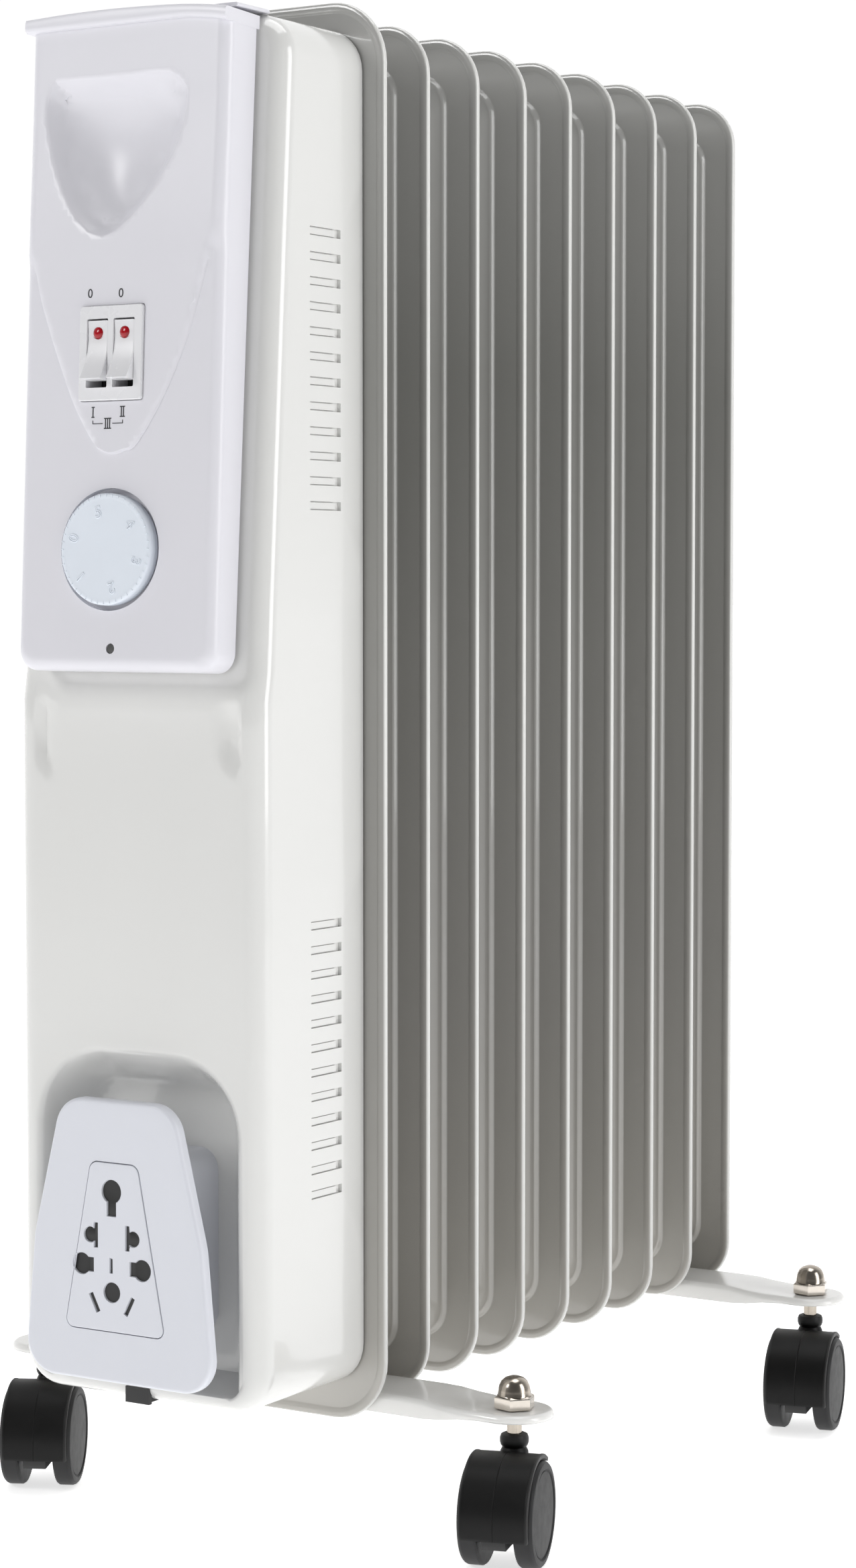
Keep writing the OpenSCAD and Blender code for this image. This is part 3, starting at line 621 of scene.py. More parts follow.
def add_slot(bm, sx, hole):
    """One louvre: a pocket with a vane standing in it, leaving a narrow groove and an open rear end."""
    (y0, z0), (y1, _), (_, z1), _ = hole

    def ring(front, rear, inset, depth):
        low, high = z0 + inset, z1 - inset
        return [(sx * (COVER_HALF - depth), y, z)
                for y, z in ((front, low), (rear, low), (rear, high), (front, high))]

    end = y0 + VANE_SHARE * (y1 - y0)
    loft(bm, [ring(y0, y1, 0, 0), ring(y0, y1, 0, POCKET_DEPTH), ring(y0 + GROOVE, end, GROOVE, POCKET_DEPTH),
              ring(y0 + GROOVE + 0.1, end - 0.1, GROOVE + 0.1, VANE_DEPTH)], cap_end=True)


cover_bm, cover_outer = build_cover()
add_sides(cover_bm, cover_outer)
cover = make("cover_shell", cover_bm, "cover", "heater", ["front_cover"], sharp=30)
add_sheet(cover, 1.2)


# ---------- control panel ----------

THUMB = closed_spline([(-37.3, 236.9), (-31.8, 238.9), (-3.5, 238.5), (18.9, 238.9), (27.5, 235.0),
                       (31.2, 227.3), (26.2, 208.4), (12.9, 189.0), (-0.5, 177.5), (-9.2, 174.5),
                       (-18.8, 178.0), (-29.2, 190.5), (-37.1, 209.2), (-40.8, 227.6)], 5)
SHIELD = [(-49.0, 178.0), (-45.0, 166.8), (-40.6, 150.0), (-32.7, 129.8), (-22.3, 107.2), (-11.9, 91.6),
          (-7.0, 88.0), (-2.2, 86.8), (3.5, 88.0), (10.1, 91.1), (23.2, 110.2), (34.6, 134.7),
          (42.8, 162.3), (49.0, 185.6)]
SHIELD_EDGE = open_spline(SHIELD, 5)
SHIELD_LOOP = SHIELD_EDGE + [(49.0, 262.0), (-49.0, 262.0)]
SHIELD_OPEN_TOP = SHIELD_EDGE + [(60.0, 400.0), (-60.0, 400.0)]
DIAL_HOLE = [(FEATURE_X + 24.6 * math.cos(a), DIAL_Z + 24.6 * math.sin(a))
             for a in (2 * math.pi * i / 72 for i in range(72))]
PILOT = (FEATURE_X + 1.5, 9.1)
PILOT_HOLE = [(PILOT[0] + 2.1 * math.cos(a), PILOT[1] + 2.1 * math.sin(a))
              for a in (2 * math.pi * i / 24 for i in range(24))]
BEZEL_HOLE = rrect_loop(FEATURE_X, BEZEL_Z, 31.9, 38.5, 1.2, 4)


def panel_height(x, z):
    y = 0.0
    if inside(SHIELD_LOOP, x, z):
        d = distance(SHIELD_OPEN_TOP, x, z)
        fade = 1.0 - 0.75 * smoothstep((z - 170) / 60)
        y -= SHIELD_RAISE * smoothstep(d / 0.8) * fade
    if inside(THUMB, x, z):
        d = distance(THUMB, x, z)
        t = min(1.0, d / 24.0)
        y += THUMB_DEPTH * (1 - (1 - t) ** 2.0) * smoothstep(d / 0.8)
    return y


def panel_outline(inset):
    """Front drawing of the panel: square top corners, rounded bottom corners, moved in by inset."""
    half, r = PANEL_HALF - inset, 8.0 - inset * 0.4
    points = []
    top, low = PANEL_H + 1.6, inset
    for i in range(9):
        a = math.radians(-90 + 90 * i / 8)
        points.append((half - r + r * math.cos(a), low + r + r * math.sin(a)))
    for i in range(1, 72):
        points.append((half, low + r + (top - low - r) * i / 72))
    for i in range(13):
        points.append((half - 2 * half * i / 12, top))
    for i in range(1, 72):
        points.append((-half, top - (top - low - r) * i / 72))
    for i in range(9):
        a = math.radians(180 + 90 * i / 8)
        points.append((-half + r + r * math.cos(a), low + r + r * math.sin(a)))
    for i in range(1, 8):
        points.append((-half + r + (2 * half - 2 * r) * i / 8, low))
    return points


def cover_behind(z):
    """Panel-local depth at which the front of the cover stands, at a height of the panel drawing."""
    c, s = math.cos(LEAN), math.sin(LEAN)
    k = math.tan(COVER_LEAN)
    # solve PANEL_Y + y c + z s = UPPER_Y + (PANEL_Z - y s + z c - UPPER_Z) k for y
    return (UPPER_Y + (PANEL_Z + z * c - UPPER_Z) * k - PANEL_Y - z * s) / (c + s * k)


def build_panel():
    bm = bmesh.new()
    loops = []
    front = panel_outline(PANEL_EDGE)
    for k in range(9):
        a = math.radians(90 * k / 8)
        inset = PANEL_EDGE * (1 - math.sin(a))
        drop = PANEL_EDGE * (1 - math.cos(a))
        loops.append([(x, drop + panel_height(*f) * (1 - k / 8), z)
                      for (x, z), f in zip(panel_outline(inset), front)])
    loops.append([(x, cover_behind(z) - 1.9, z) for x, z in panel_outline(0)])
    loops.append([(x, cover_behind(z) - 1.7, z) for x, z in panel_outline(0.3)])
    loops.append([(x, cover_behind(z) - 1.6, z) for x, z in panel_outline(2.4)])
    loops.append([(x, cover_behind(z) - 0.15, z) for x, z in panel_outline(2.6)])
    loft(bm, loops)
    rings = [THUMB, offset(THUMB, -0.9), offset(THUMB, -2.2), offset(THUMB, -4.2), offset(THUMB, -7.0)]
    step_low = [p for p in SHIELD_EDGE if abs(p[0]) < 43.6]
    step_high = [(x, z + 0.9) for x, z in step_low]
    height_face(bm, front, [DIAL_HOLE, PILOT_HOLE, BEZEL_HOLE], rings, 2.6, panel_height,
                lines=[step_low, step_high])
    # even out the middle of the thumb bowl
    bowl = [v for v in bm.verts if v.co.y > 3.5 * MM and inside(THUMB, v.co.x / MM, v.co.z / MM)]
    for _ in range(14):
        level = {v: sum(e.other_vert(v).co.y for e in v.link_edges) / len(v.link_edges) for v in bowl}
        for v, y in level.items():
            v.co.y = y
    # dial seat, pilot hole and bezel cut-out
    wall(bm, DIAL_HOLE, lambda x, z: 0.0, lambda x, z: 3.5)
    lathe(bm, [(24.6, 3.5), (4.0, 3.5), (4.0, 6.0)], (FEATURE_X, 0, DIAL_Z), (0, 1, 0), 72)
    wall(bm, PILOT_HOLE, lambda x, z: 0.0, lambda x, z: 2.4)
    wall(bm, BEZEL_HOLE, panel_height, lambda x, z: 2.4)
    return bm


make("panel_body", build_panel(), "panel", "heater", ["control_panel"],
     matrix=PANEL_MATRIX, sharp=50)


def build_lip():
    """Arched lip along the top of the panel, running back over the cover."""
    bm = bmesh.new()
    loops = []
    tops = open_spline([(-50.6, 264.3), (-30.0, 265.1), (-9.0, 265.3), (10.0, 264.9), (26.0, 264.2),
                        (40.0, 262.9), (49.7, 261.4)], 6)
    for x, top in tops:
        low = min(top - 5.4, 258.6)
        back = cover_behind(top) - 0.2
        loops.append([(x, -1.1, low), (x, -2.2, low + 0.9), (x, -2.5, low + 2.2), (x, -2.5, top - 1.6),
                      (x, -2.0, top - 0.4), (x, -0.9, top), (x, back, top), (x, back, low),
                      (x, 2.0, low)])
    loft(bm, loops, cap_start=True, cap_end=True)
    return bm


make("panel_lip", build_lip(), "panel", "heater", matrix=PANEL_MATRIX, sharp=40)

tongue_bm = bmesh.new()
loft(tongue_bm, [[(x, y, z) for x, z in rrect_loop(0, COVER_TOP + 0.95, 2 * half, 1.7, 0.7, 3)]
                 for half, y in ((48.9, -187.0), (48.9, -165.4), (48.3, -164.0), (47.2, -163.6))],
     cap_start=True, cap_end=True)
make("panel_tongue", tongue_bm, "panel", "heater")


# ---------- switches ----------

def build_bezel():
    bm = bmesh.new()
    holes = [rrect_loop(FEATURE_X + s * 6.65, BEZEL_Z, 10.6, 27.6, 0.6, 3) for s in (-1, 1)]
    outer = rrect_loop(FEATURE_X, BEZEL_Z, 31.4, 38, 1.2, 6)
    face = offset(outer, -0.5)
    height_face(bm, face, holes, [], 6.0, lambda x, z: -3.0)
    loft(bm, [[(p[0], -3.0 + d, p[1]) for p in offset(outer, -i)]
              for i, d in ((0.5, 0.0), (0.25, 0.07), (0.07, 0.25), (0.0, 0.5))]
         + [[(p[0], 1.6, p[1]) for p in outer]])
    for hole in holes:
        wall(bm, hole, lambda x, z: -3.0, lambda x, z: 7.5)
    return bm


make("bezel_frame", build_bezel(), "switch", "heater", ["switch_bezel"],
     matrix=PANEL_MATRIX, sharp=40)

ROCKER_PROFILE = [(-6.4, 12.0), (-5.3, 8.6), (-4.4, 4.8), (-3.9, 0.0), (-4.4, -4.8), (-5.3, -8.6),
                  (-6.4, -12.0), (-5.6, -12.2), (1, -11), (4.8, -3), (4.8, 3), (1, 11), (-5.6, 12.2)]


def rocker_matrix(s):
    return (PANEL_MATRIX @ Matrix.Translation(Vector((FEATURE_X + s * 6.65, 1.0, BEZEL_Z)) * MM)
            @ Matrix.Rotation(math.radians(-12), 4, "X"))


for side, label in ((-1, "left"), (1, "right")):
    rocker_bm = bmesh.new()
    widths = [(-5.1, 0.5), (-4.75, 0.12), (-4.3, 0.0), (4.3, 0.0), (4.75, 0.12), (5.1, 0.5)]
    loft(rocker_bm, [[(x, y * (1 - pull * 0.04) + pull * 0.3, z * (1 - pull * 0.03))
                      for y, z in ROCKER_PROFILE] for x, pull in widths], cap_start=True, cap_end=True)
    make(f"rocker_cap_{label}", rocker_bm, "switch", f"rocker_{label}",
         [f"rocker_{label}"], matrix=rocker_matrix(side), sharp=32)
    lens_bm = bmesh.new()
    lathe(lens_bm, [(2.75, 2.0), (2.75, 0.1), (2.55, -0.2), (2.0, -0.75), (1.1, -1.1), (0.0, -1.2)],
          (0, -4.75, 7.8), (0, 1, 0), 40)
    lathe(lens_bm, [(2.75, 0.3), (3.05, 0.05), (3.05, 1.5)], (0, -4.75, 7.8), (0, 1, 0), 40)
    make(f"lens_dome_{label}", lens_bm, "lens", f"rocker_{label}", [f"lens_{label}"],
         matrix=rocker_matrix(side), sharp=60)


# ---------- dial ----------

def build_dial():
    bm = bmesh.new()
    seg = 160
    profile = [(0.0, -3.0), (19.8, -3.0), (20.6, -3.15), (21.4, -3.2), (22.1, -2.9), (22.45, -2.3),
               (22.5, -1.4), (22.5, 2.2), (3.9, 2.2), (3.9, 3.0)]
    lathe(bm, profile, (FEATURE_X, 0, DIAL_Z), (0, 1, 0), seg)
    return bm


make("dial_knob", build_dial(), "dial", "dial", ["dial"], matrix=PANEL_MATRIX, sharp=40)

# short raised ticks round the edge of the dial
tick_bm = bmesh.new()
for tick in range(44):
    angle = 2 * math.pi * tick / 44
    c, s = math.cos(angle), math.sin(angle)
    base = Vector((FEATURE_X, 0, DIAL_Z))
    radial, along = Vector((c, 0, s)), Vector((-s, 0, c))
    loft(tick_bm, [[tuple(base + radial * rr + along * aa + Vector((0, yy, 0)))
                    for rr, aa in ((20.9, -wide), (22.0, -wide), (22.0, wide), (20.9, wide))]
                   for yy, wide in ((-2.6, 0.34), (-3.38, 0.2))], cap_start=True, cap_end=True)
make("dial_ticks", tick_bm, "dial", "dial", matrix=PANEL_MATRIX, smooth=False)


def lettering(name, text, size, place, turn, look, body, outline=0.0, depth=0.12):
    """Flat or outlined character standing on the panel face, made from the built-in font."""
    curve = bpy.data.curves.new(name, "FONT")
    curve.body = text
    curve.size = size * MM
    curve.align_x = "CENTER"
    curve.align_y = "CENTER"
    if outline:
        curve.fill_mode = "NONE"
        curve.bevel_depth = outline * MM
        curve.bevel_resolution = 2
    else:
        curve.extrude = depth * MM
        curve.resolution_u = 6
    obj = bpy.data.objects.new(name, curve)
    bpy.context.scene.collection.objects.link(obj)
    bpy.context.view_layer.update()
    mesh = bpy.data.meshes.new_from_object(obj)
    bpy.data.objects.remove(obj)
    stand = Matrix.Rotation(math.radians(90), 4, "X")
    spot = Matrix.Translation(Vector(place) * MM)
    mesh.transform(PANEL_MATRIX @ spot @ Matrix.Rotation(math.radians(turn), 4, "Y") @ stand)
    piece = bpy.data.objects.new(name, mesh)
    bpy.context.scene.collection.objects.link(piece)
    mesh.materials.clear()
    mesh.materials.append(M[look])
    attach(piece, body)
    return piece


for number, px, pz in ((5, -3.8, 14.6), (4, 11.9, 9.7), (3, 15.4, -4.8), (2, 3.6, -15.3),
                       (1, -11.9, -11.0), (0, -15.8, 4.4)):
    tilt = math.degrees(math.atan2(px, pz))
    lettering(f"dial_number_{number}", str(number), 6.6, (FEATURE_X + px, -3.05, DIAL_Z + pz), tilt,
              "dial", "dial", outline=0.28)

# switch marks printed on the shield
MARK_Y = -SHIELD_RAISE - 0.05
lettering("mark_0_left", "0", 5.2, (-14.3, MARK_Y, 151.4), 0, "ink", "heater", depth=0.06)
lettering("mark_0_right", "0", 5.2, (1.2, MARK_Y, 151.0), 0, "ink", "heater", depth=0.06)


def strokes(name, rects, look="ink"):
    """Thin printed strokes given as (x, z, width, height) in the panel plane."""
    bm = bmesh.new()
    for x, z, w, h in rects:
        loft(bm, [[(px, y, pz) for px, pz in ((x - w / 2, z - h / 2), (x + w / 2, z - h / 2),
                                               (x + w / 2, z + h / 2), (x - w / 2, z + h / 2))]
                  for y in (MARK_Y + 0.1, MARK_Y - 0.06)], cap_start=True, cap_end=True)
    return make(name, bm, look, "heater", matrix=PANEL_MATRIX, smooth=False)


def roman(x, z, count, height=4.0, gap=1.05):
    wide = 1.5 + gap * (count - 1)
    rects = [(x, z + height / 2, wide, 0.42), (x, z - height / 2, wide, 0.42)]
    rects += [(x + gap * (i - (count - 1) / 2), z, 0.5, height) for i in range(count)]
    return rects


strokes("mark_one", roman(-11.4, 103.8, 1))
strokes("mark_two", roman(3.4, 103.8, 2))
strokes("mark_three", roman(-3.9, 99.2, 3))
strokes("mark_bracket", [(-8.9, 99.2, 5.0, 0.32), (1.1, 99.2, 5.2, 0.32), (-11.4, 99.8, 0.32, 1.4),
                         (3.6, 99.8, 0.32, 1.4)])

pilot_bm = bmesh.new()
lathe(pilot_bm, [(2.0, 4.4), (2.0, 0.7), (1.85, 0.45), (0.0, 0.3)], (PILOT[0], 0, PILOT[1]), (0, 1, 0), 32)
lathe(pilot_bm, [(2.0, 2.4), (3.4, 2.4), (3.4, 4.4), (2.0, 4.4)], (PILOT[0], 0, PILOT[1]), (0, 1, 0), 32)
make("pilot_lens", pilot_bm, "pilot", "heater", ["pilot_window"], matrix=PANEL_MATRIX)


# ---------- cord winder ----------

def hull(circles, seg=24):
    """Convex hull of circles (x, z, r) as a closed outline."""
    points = sorted({(round(x + r * math.cos(a), 4), round(z + r * math.sin(a), 4))
                     for x, z, r in circles for a in (2 * math.pi * i / seg for i in range(seg))})

    def half(seq):
        out = []
        for p in seq:
            while len(out) > 1 and ((out[-1][0] - out[-2][0]) * (p[1] - out[-2][1])
                                    - (out[-1][1] - out[-2][1]) * (p[0] - out[-2][0])) <= 0:
                out.pop()
            out.append(p)
        return out[:-1]

    return half(points) + half(points[::-1])


PLATE = hull([(s * 17.5, 180, 14) for s in (-1, 1)] + [(s * 14, 132, 29) for s in (-1, 1)]
             + [(s * 32.8, 92.4, 14) for s in (-1, 1)], 48)
INSERT = [(x + INSERT_X, z) for x, z in hull([(s * 8.5, 164.5, 4) for s in (-1, 1)]
                                             + [(s * 21, 103, 3.5) for s in (-1, 1)], 32)]


def arc(cx, cz, r, a0, a1, n):
    return [(cx + r * math.cos(math.radians(a0 + (a1 - a0) * i / n)),
             cz + r * math.sin(math.radians(a0 + (a1 - a0) * i / n))) for i in range(n + 1)]


def socket_hole_outlines():
    dip = math.degrees(math.asin(2.2 / 4.8))
    key = arc(0, 156.9, 4.8, -90 + dip, 270 - dip, 28) + [(-2.2, 146.8), (2.2, 146.8)]
    slit = [(-0.9, 123.5), (0.3, 123.5), (0.3, 129.4), (-0.9, 129.9)]
    holes = [key, arc(0, 115.7, 4.1, 0, 345, 23), slit]
    for s in (-1, 1):
        # half round hole with a tall flat on its inner side
        half = [(7.15, 133.4), (8.85, 133.4), (8.85, 136.0)] + arc(10.85, 138.5, 3.15, -125, 125, 16)
        half += [(8.85, 143.6), (7.15, 143.6)]
        # round side hole with a short flat end
        dip = math.degrees(math.asin(2.9 / 4.35))
        roundish = arc(15.3, 126.2, 4.35, -180 + dip, 180 - dip, 26) + [(9.3, 129.1), (9.3, 123.3)]
        c, n = math.cos(math.radians(-s * 27.5)), math.sin(math.radians(-s * 27.5))
        slant = [(s * 8.8 + x * c - z * n, 110.8 + x * n + z * c)
                 for x, z in ((-0.9, -4.15), (0.9, -4.15), (0.9, 4.15), (-0.9, 4.15))]
        for shape in (half, roundish):
            holes.append([(s * x, z) for x, z in shape])
        holes.append(slant)
    return [[(x + INSERT_X + HOLE_SHIFT, z) for x, z in hole] for hole in holes]


SOCKET_HOLES = socket_hole_outlines()


def build_plate():
    bm = bmesh.new()
    rim = dense(PLATE, 5)
    face = offset(rim, -1.6)
    seat = offset(INSERT, 0.35)
    height_face(bm, face, [seat], [], 7.0, lambda x, z: PLATE_Y)
    loft(bm, [[(p[0], PLATE_Y + d, p[1]) for p in offset(rim, -i)]
              for i, d in ((1.6, 0.0), (1.0, 0.1), (0.45, 0.45), (0.1, 1.0), (0.0, 1.6))]
         + [[(p[0], PLATE_Y + PLATE_T - 0.5, p[1]) for p in rim]]
         + [[(p[0], PLATE_Y + PLATE_T, p[1]) for p in offset(rim, -0.5)]])
    # back of the plate and the post behind it
    back = offset(rim, -0.5)
    post = rrect_loop(INSERT_X, 134, 52, 76, 9, 8)
    height_face(bm, back, [post], [], 9.0, lambda x, z: PLATE_Y + PLATE_T)
    wall(bm, post, lambda x, z: PLATE_Y + PLATE_T, lambda x, z: BAY_FLOOR, 2)
    wall(bm, seat, lambda x, z: PLATE_Y, lambda x, z: PLATE_Y + 4)
    floor = [(x, PLATE_Y + 4, z) for x, z in seat]
    bm.faces.new([bm.verts.new(Vector(p) * MM) for p in floor])
    return bm


make("winder_body", build_plate(), "winder", "heater", ["winder_plate"], sharp=45)


def build_insert():
    bm = bmesh.new()
    front = PLATE_Y - 0.35
    rim = dense(INSERT, 5)
    rings = [offset(hole, 0.3) for hole in SOCKET_HOLES]
    height_face(bm, offset(rim, -0.5), rings, [], 5.0, lambda x, z: front)
    loft(bm, [[(p[0], front + d, p[1]) for p in offset(rim, -i)]
              for i, d in ((0.5, 0), (0.12, 0.12), (0, 0.5))]
         + [[(p[0], PLATE_Y + 3.6, p[1]) for p in rim]])
    for hole, ring in zip(SOCKET_HOLES, rings):
        loft(bm, [[(x, front, z) for x, z in ring], [(x, front + 0.3, z) for x, z in hole],
                  [(x, PLATE_Y + 3.8, z) for x, z in hole]])
    return bm


make("insert_body", build_insert(), "winder", "heater", ["socket_insert"], sharp=45)

# dark blocks behind the holes of the socket, put in as painted shade for its shadowed inside
dark_bm = bmesh.new()
for hole in SOCKET_HOLES:
    loft(dark_bm, [[(x, y, z) for x, z in offset(hole, 0.15)] for y in (PLATE_Y + 0.55, PLATE_Y + 3.7)],
         cap_start=True, cap_end=True)
make("socket_hole_shade", dark_bm, "black", "heater", smooth=False)


# ---------- foot bars ----------

def bar_outline(inset, seg=20):
    r = BAR_HALF_W - inset
    right = [(STEM_X + r * math.cos(a), r * math.sin(a))
             for a in (math.radians(-90 + 180 * i / seg) for i in range(seg + 1))]
    upper = [(STEM_X - (2 * STEM_X) * i / 28, r) for i in range(1, 28)]
    left = [(-x, -y) for x, y in right]
    lower = [(-x, -y) for x, y in upper]
    return right + upper + left + lower


def bar_top(x, y):
    """Pressed top of the bar: raised arm, recessed pad round the nut."""
    d = math.hypot(abs(x) - STEM_X, y)
    arm = smoothstep((STEM_X - 18 - abs(x)) / 22)
    pad = smoothstep((d - 11.5) / 6.0)
    return BAR_TOP - 1.9 + 1.9 * arm * smoothstep(pad) - 0.5 * (1 - pad)


def build_bar(name, y0, node):
    bm = bmesh.new()
    top_face = bar_outline(2.2)

    def skirt(x):
        return 5.3 + 2.6 * smoothstep((STEM_X - 10 - abs(x)) / 24)

    verts2, edges = [], []
    hole = [(s * STEM_X + 4.1 * math.cos(a), 4.1 * math.sin(a)) for s in (-1, 1)
            for a in (2 * math.pi * i / 20 for i in range(20))]
    for loop in (top_face, hole[:20], hole[20:]):
        base = len(verts2)
        verts2.extend(Vector(p) for p in loop)
        edges.extend((base + i, base + (i + 1) % len(loop)) for i in range(len(loop)))
    x = -136.0
    while x < 137:
        for y in (-10.5, -7, -3.5, 0.0, 3.5, 7, 10.5):
            if inside(top_face, x, y) and distance(top_face, x, y) > 1.2 and \
                    math.hypot(abs(x) - STEM_X, y) > 5.2:
                verts2.append(Vector((x, y)))
        x += 3.4
    out_v, _, out_f, _, _, _ = delaunay_2d_cdt(verts2, edges, [], 0, 1e-5)
    made = [bm.verts.new(Vector((p.x, y0 + p.y, bar_top(p.x, p.y))) * MM) for p in out_v]
    for f in out_f:
        cx = sum(out_v[i].x for i in f) / len(f)
        cy = sum(out_v[i].y for i in f) / len(f)
        if inside(top_face, cx, cy) and math.hypot(abs(cx) - STEM_X, cy) > 4.0:
            bm.faces.new([made[i] for i in f])
    for v in [v for v in bm.verts if not v.link_faces]:
        bm.verts.remove(v)
    loops = []
    for inset, drop in ((2.2, 0.0), (1.35, 0.2), (0.65, 0.7), (0.18, 1.45), (0.0, 2.3)):
        loops.append([(x, y0 + y, bar_top(*t) - drop)
                      for (x, y), t in zip(bar_outline(inset), top_face)])
    loops.append([(x, y0 + y, BAR_TOP - 0.1 - skirt(x)) for x, y in bar_outline(0.0)])
    loft(bm, loops)
    add_sheet(make(name, bm, "bar", "heater", [node], sharp=50), BAR_SHEET)


build_bar("bar_front", BAR_YS[0], "foot_bar_front")
build_bar("bar_rear", BAR_YS[1], "foot_bar_rear")

nut_bm = bmesh.new()
for bar_y in BAR_YS:
    for sx in (-1, 1):
        cx, seat = sx * STEM_X, BAR_TOP - 2.3
        hexes = []
        for radius, z in ((7.6, 0.0), (8.55, 0.55), (8.7, 0.9), (8.7, 4.7), (8.45, 5.15), (7.3, 5.8)):
            hexes.append([(cx + radius * math.cos(a), bar_y + radius * math.sin(a), seat + z)
                          for a in (math.radians(60 * i - 11.4) for i in range(6))])
        loft(nut_bm, hexes, cap_start=True, cap_end=True)
        lathe(nut_bm, [(7.2, 5.6), (6.9, 6.1), (6.75, 7.6), (6.35, 9.6), (5.4, 11.5), (3.9, 12.8),
                       (1.9, 13.5), (0.0, 13.7)], (cx, bar_y, seat), (0, 0, 1), 48)
make("cap_nuts", nut_bm, "nickel", "heater", ["acorn_nuts"], sharp=30)


# ---------- casters ----------

def stem_matrix(corner, sx, y):
    spot = Matrix.Translation(Vector((sx * STEM_X, y, 0)) * MM)
    return spot @ Matrix.Rotation(math.radians(TURNS[corner]), 4, "Z")


def build_hood():
    """Hood over both wheels: an arched shell with rims and a centre seam, a web and a collar."""
    bm = bmesh.new()
    start, end = -15.3, 122.0
    cy, cz = -TRAIL, WHEEL_R
    angles = [start + (end - start) * i / 44 for i in range(45)]

    def around(a, r):
        return cy - r * math.cos(math.radians(a)), cz + r * math.sin(math.radians(a))

    profile = [(-14.5, 22.8), (-14.5, 24.2), (-14.1, 24.6), (-13.4, 24.6), (-13.0, 24.4), (-0.3, 24.5),
               (0.0, 24.3), (0.3, 24.5), (13.0, 24.4), (13.4, 24.6), (14.1, 24.6), (14.5, 24.2),
               (14.5, 22.8)]
    loft(bm, [[(x, *around(a, r)) for x, r in profile] for a in angles], cap_start=True, cap_end=True)
    web = [around(-26 + 232 * i / 48, 23.6) for i in range(49)]
    loft(bm, [[(x, y, z) for y, z in web] for x in (-5.0, 5.0)], cap_start=True, cap_end=True)
    lathe(bm, [(5.0, 38.5), (5.8, 40.0), (6.0, 42.5), (5.8, 44.6), (5.2, 45.8), (5.0, 46.3), (5.6, 47.2),
               (6.0, 48.4), (6.0, 50.2), (5.5, 51.5), (4.4, 52.0), (3.25, 52.0)], (0, 0, 0), (0, 0, 1), 40)
    return bm


def build_wheel(s):
    """Wheel with a rounded tread and a recessed cap on its outer face."""
    bm = bmesh.new()
    profile = [(3.0, 0.0), (20.4, 0.0), (21.5, 0.35), (22.0, 1.1), (22.0, 6.6), (21.6, 7.6), (20.9, 8.3),
               (20.0, 8.5), (18.9, 8.5), (18.5, 8.25), (18.2, 7.75), (17.8, 7.75), (17.5, 8.1), (14.5, 8.3),
               (8.0, 8.45), (0.0, 8.5)]
    lathe(bm, profile, (s * 7.5, -TRAIL, WHEEL_R), (s, 0, 0), 96)
    return bm


for corner, (sx, bar_y) in {"fl": (-1, BAR_YS[0]), "fr": (1, BAR_YS[0]), "rl": (-1, BAR_YS[1]),
                            "rr": (1, BAR_YS[1])}.items():
    place = stem_matrix(corner, sx, bar_y)
    make(f"hood_shell_{corner}", build_hood(), "black", f"caster_{corner}",
         [f"hood_{corner}"], matrix=place, sharp=32)
    for s, letter in ((-1, "a"), (1, "b")):
        make(f"wheel_body_{corner}_{letter}", build_wheel(s), "tyre", f"wheel_{corner}_{letter}",
             [f"wheel_{corner}_{letter}"], matrix=place, sharp=28)


# ---------- floor, light and camera ----------

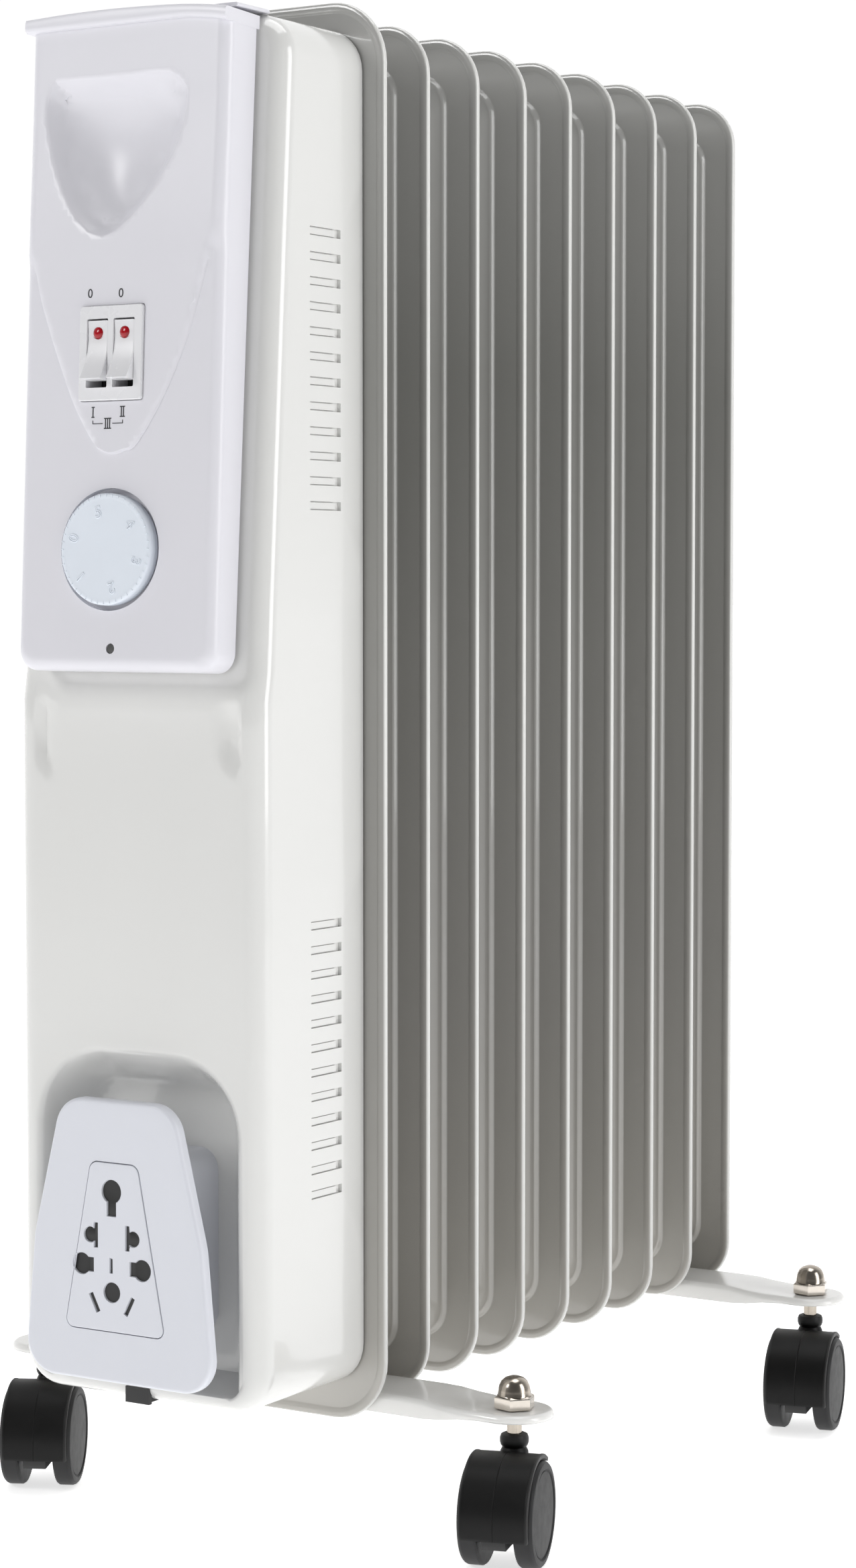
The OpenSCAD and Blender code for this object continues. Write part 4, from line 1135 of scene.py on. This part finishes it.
scene = bpy.context.scene
floor_mat = surface("floor", (0.93, 0.93, 0.93), (0.6, 0.7), 2, 60, 0.00005, variation=0.004, specular=0.2)
floor_shader = floor_mat.node_tree.nodes["Principled BSDF"]
floor_shader.inputs["Emission Color"].default_value = (1, 1, 1, 1)
floor_shader.inputs["Emission Strength"].default_value = 0.66
floor_mesh = bpy.data.meshes.new("floor")
floor_mesh.from_pydata([(-80, -80, 0), (80, -80, 0), (80, 80, 0), (-80, 80, 0)], [], [(0, 1, 2, 3)])
floor_mesh.materials.append(floor_mat)
floor = bpy.data.objects.new("floor", floor_mesh)
scene.collection.objects.link(floor)

world = bpy.data.worlds.new("studio")
world.use_nodes = True
world_tree = world.node_tree
world_dir = world_tree.nodes.new("ShaderNodeTexCoord")
away = world_tree.nodes.new("ShaderNodeVectorMath")
away.operation = "DOT_PRODUCT"
away.inputs[1].default_value = (-0.536, 0.844, 0.0)
world_tree.links.new(world_dir.outputs["Generated"], away.inputs[0])
fade = world_tree.nodes.new("ShaderNodeMapRange")
fade.inputs["From Min"].default_value = -0.1
fade.inputs["From Max"].default_value = 0.75
fade.inputs["To Min"].default_value = 0.12
fade.inputs["To Max"].default_value = 1.02
world_tree.links.new(away.outputs["Value"], fade.inputs["Value"])
world_tree.links.new(fade.outputs["Result"], world_tree.nodes["Background"].inputs["Strength"])
world_tree.nodes["Background"].inputs["Color"].default_value = (1.0, 1.0, 1.0, 1)
scene.world = world


def area(name, place, target, size, power, tall=None):
    light = bpy.data.lights.new(name, "AREA")
    light.energy = power
    light.size = size
    if tall:
        light.shape = "RECTANGLE"
        light.size_y = tall
    obj = bpy.data.objects.new(name, light)
    obj.location = place
    obj.rotation_euler = (Vector(target) - Vector(place)).to_track_quat("-Z", "Y").to_euler()
    scene.collection.objects.link(obj)


area("side", (2.4, 0.15, 1.0), (0, 0.0, 0.33), 0.9, 22, tall=1.8)
area("front_high", (-1.2, -2.1, 1.7), (0, -0.2, 0.36), 0.6, 18, tall=0.8)
area("top", (0.2, 0.0, 2.2), (0, 0, 0.3), 1.2, 14)

camera_data = bpy.data.cameras.new("camera")
camera_data.sensor_fit = "HORIZONTAL"
camera_data.sensor_width = 36
camera_data.lens = 144.94
camera_data.clip_start = 0.05
camera = bpy.data.objects.new("camera", camera_data)
camera.location = (0.84837, -1.30493, 0.40026)
camera.rotation_euler = (math.radians(86.771), 0, math.radians(32.44))
scene.collection.objects.link(camera)
scene.camera = camera
scene.view_settings.view_transform = "Standard"
scene.view_settings.look = "None"
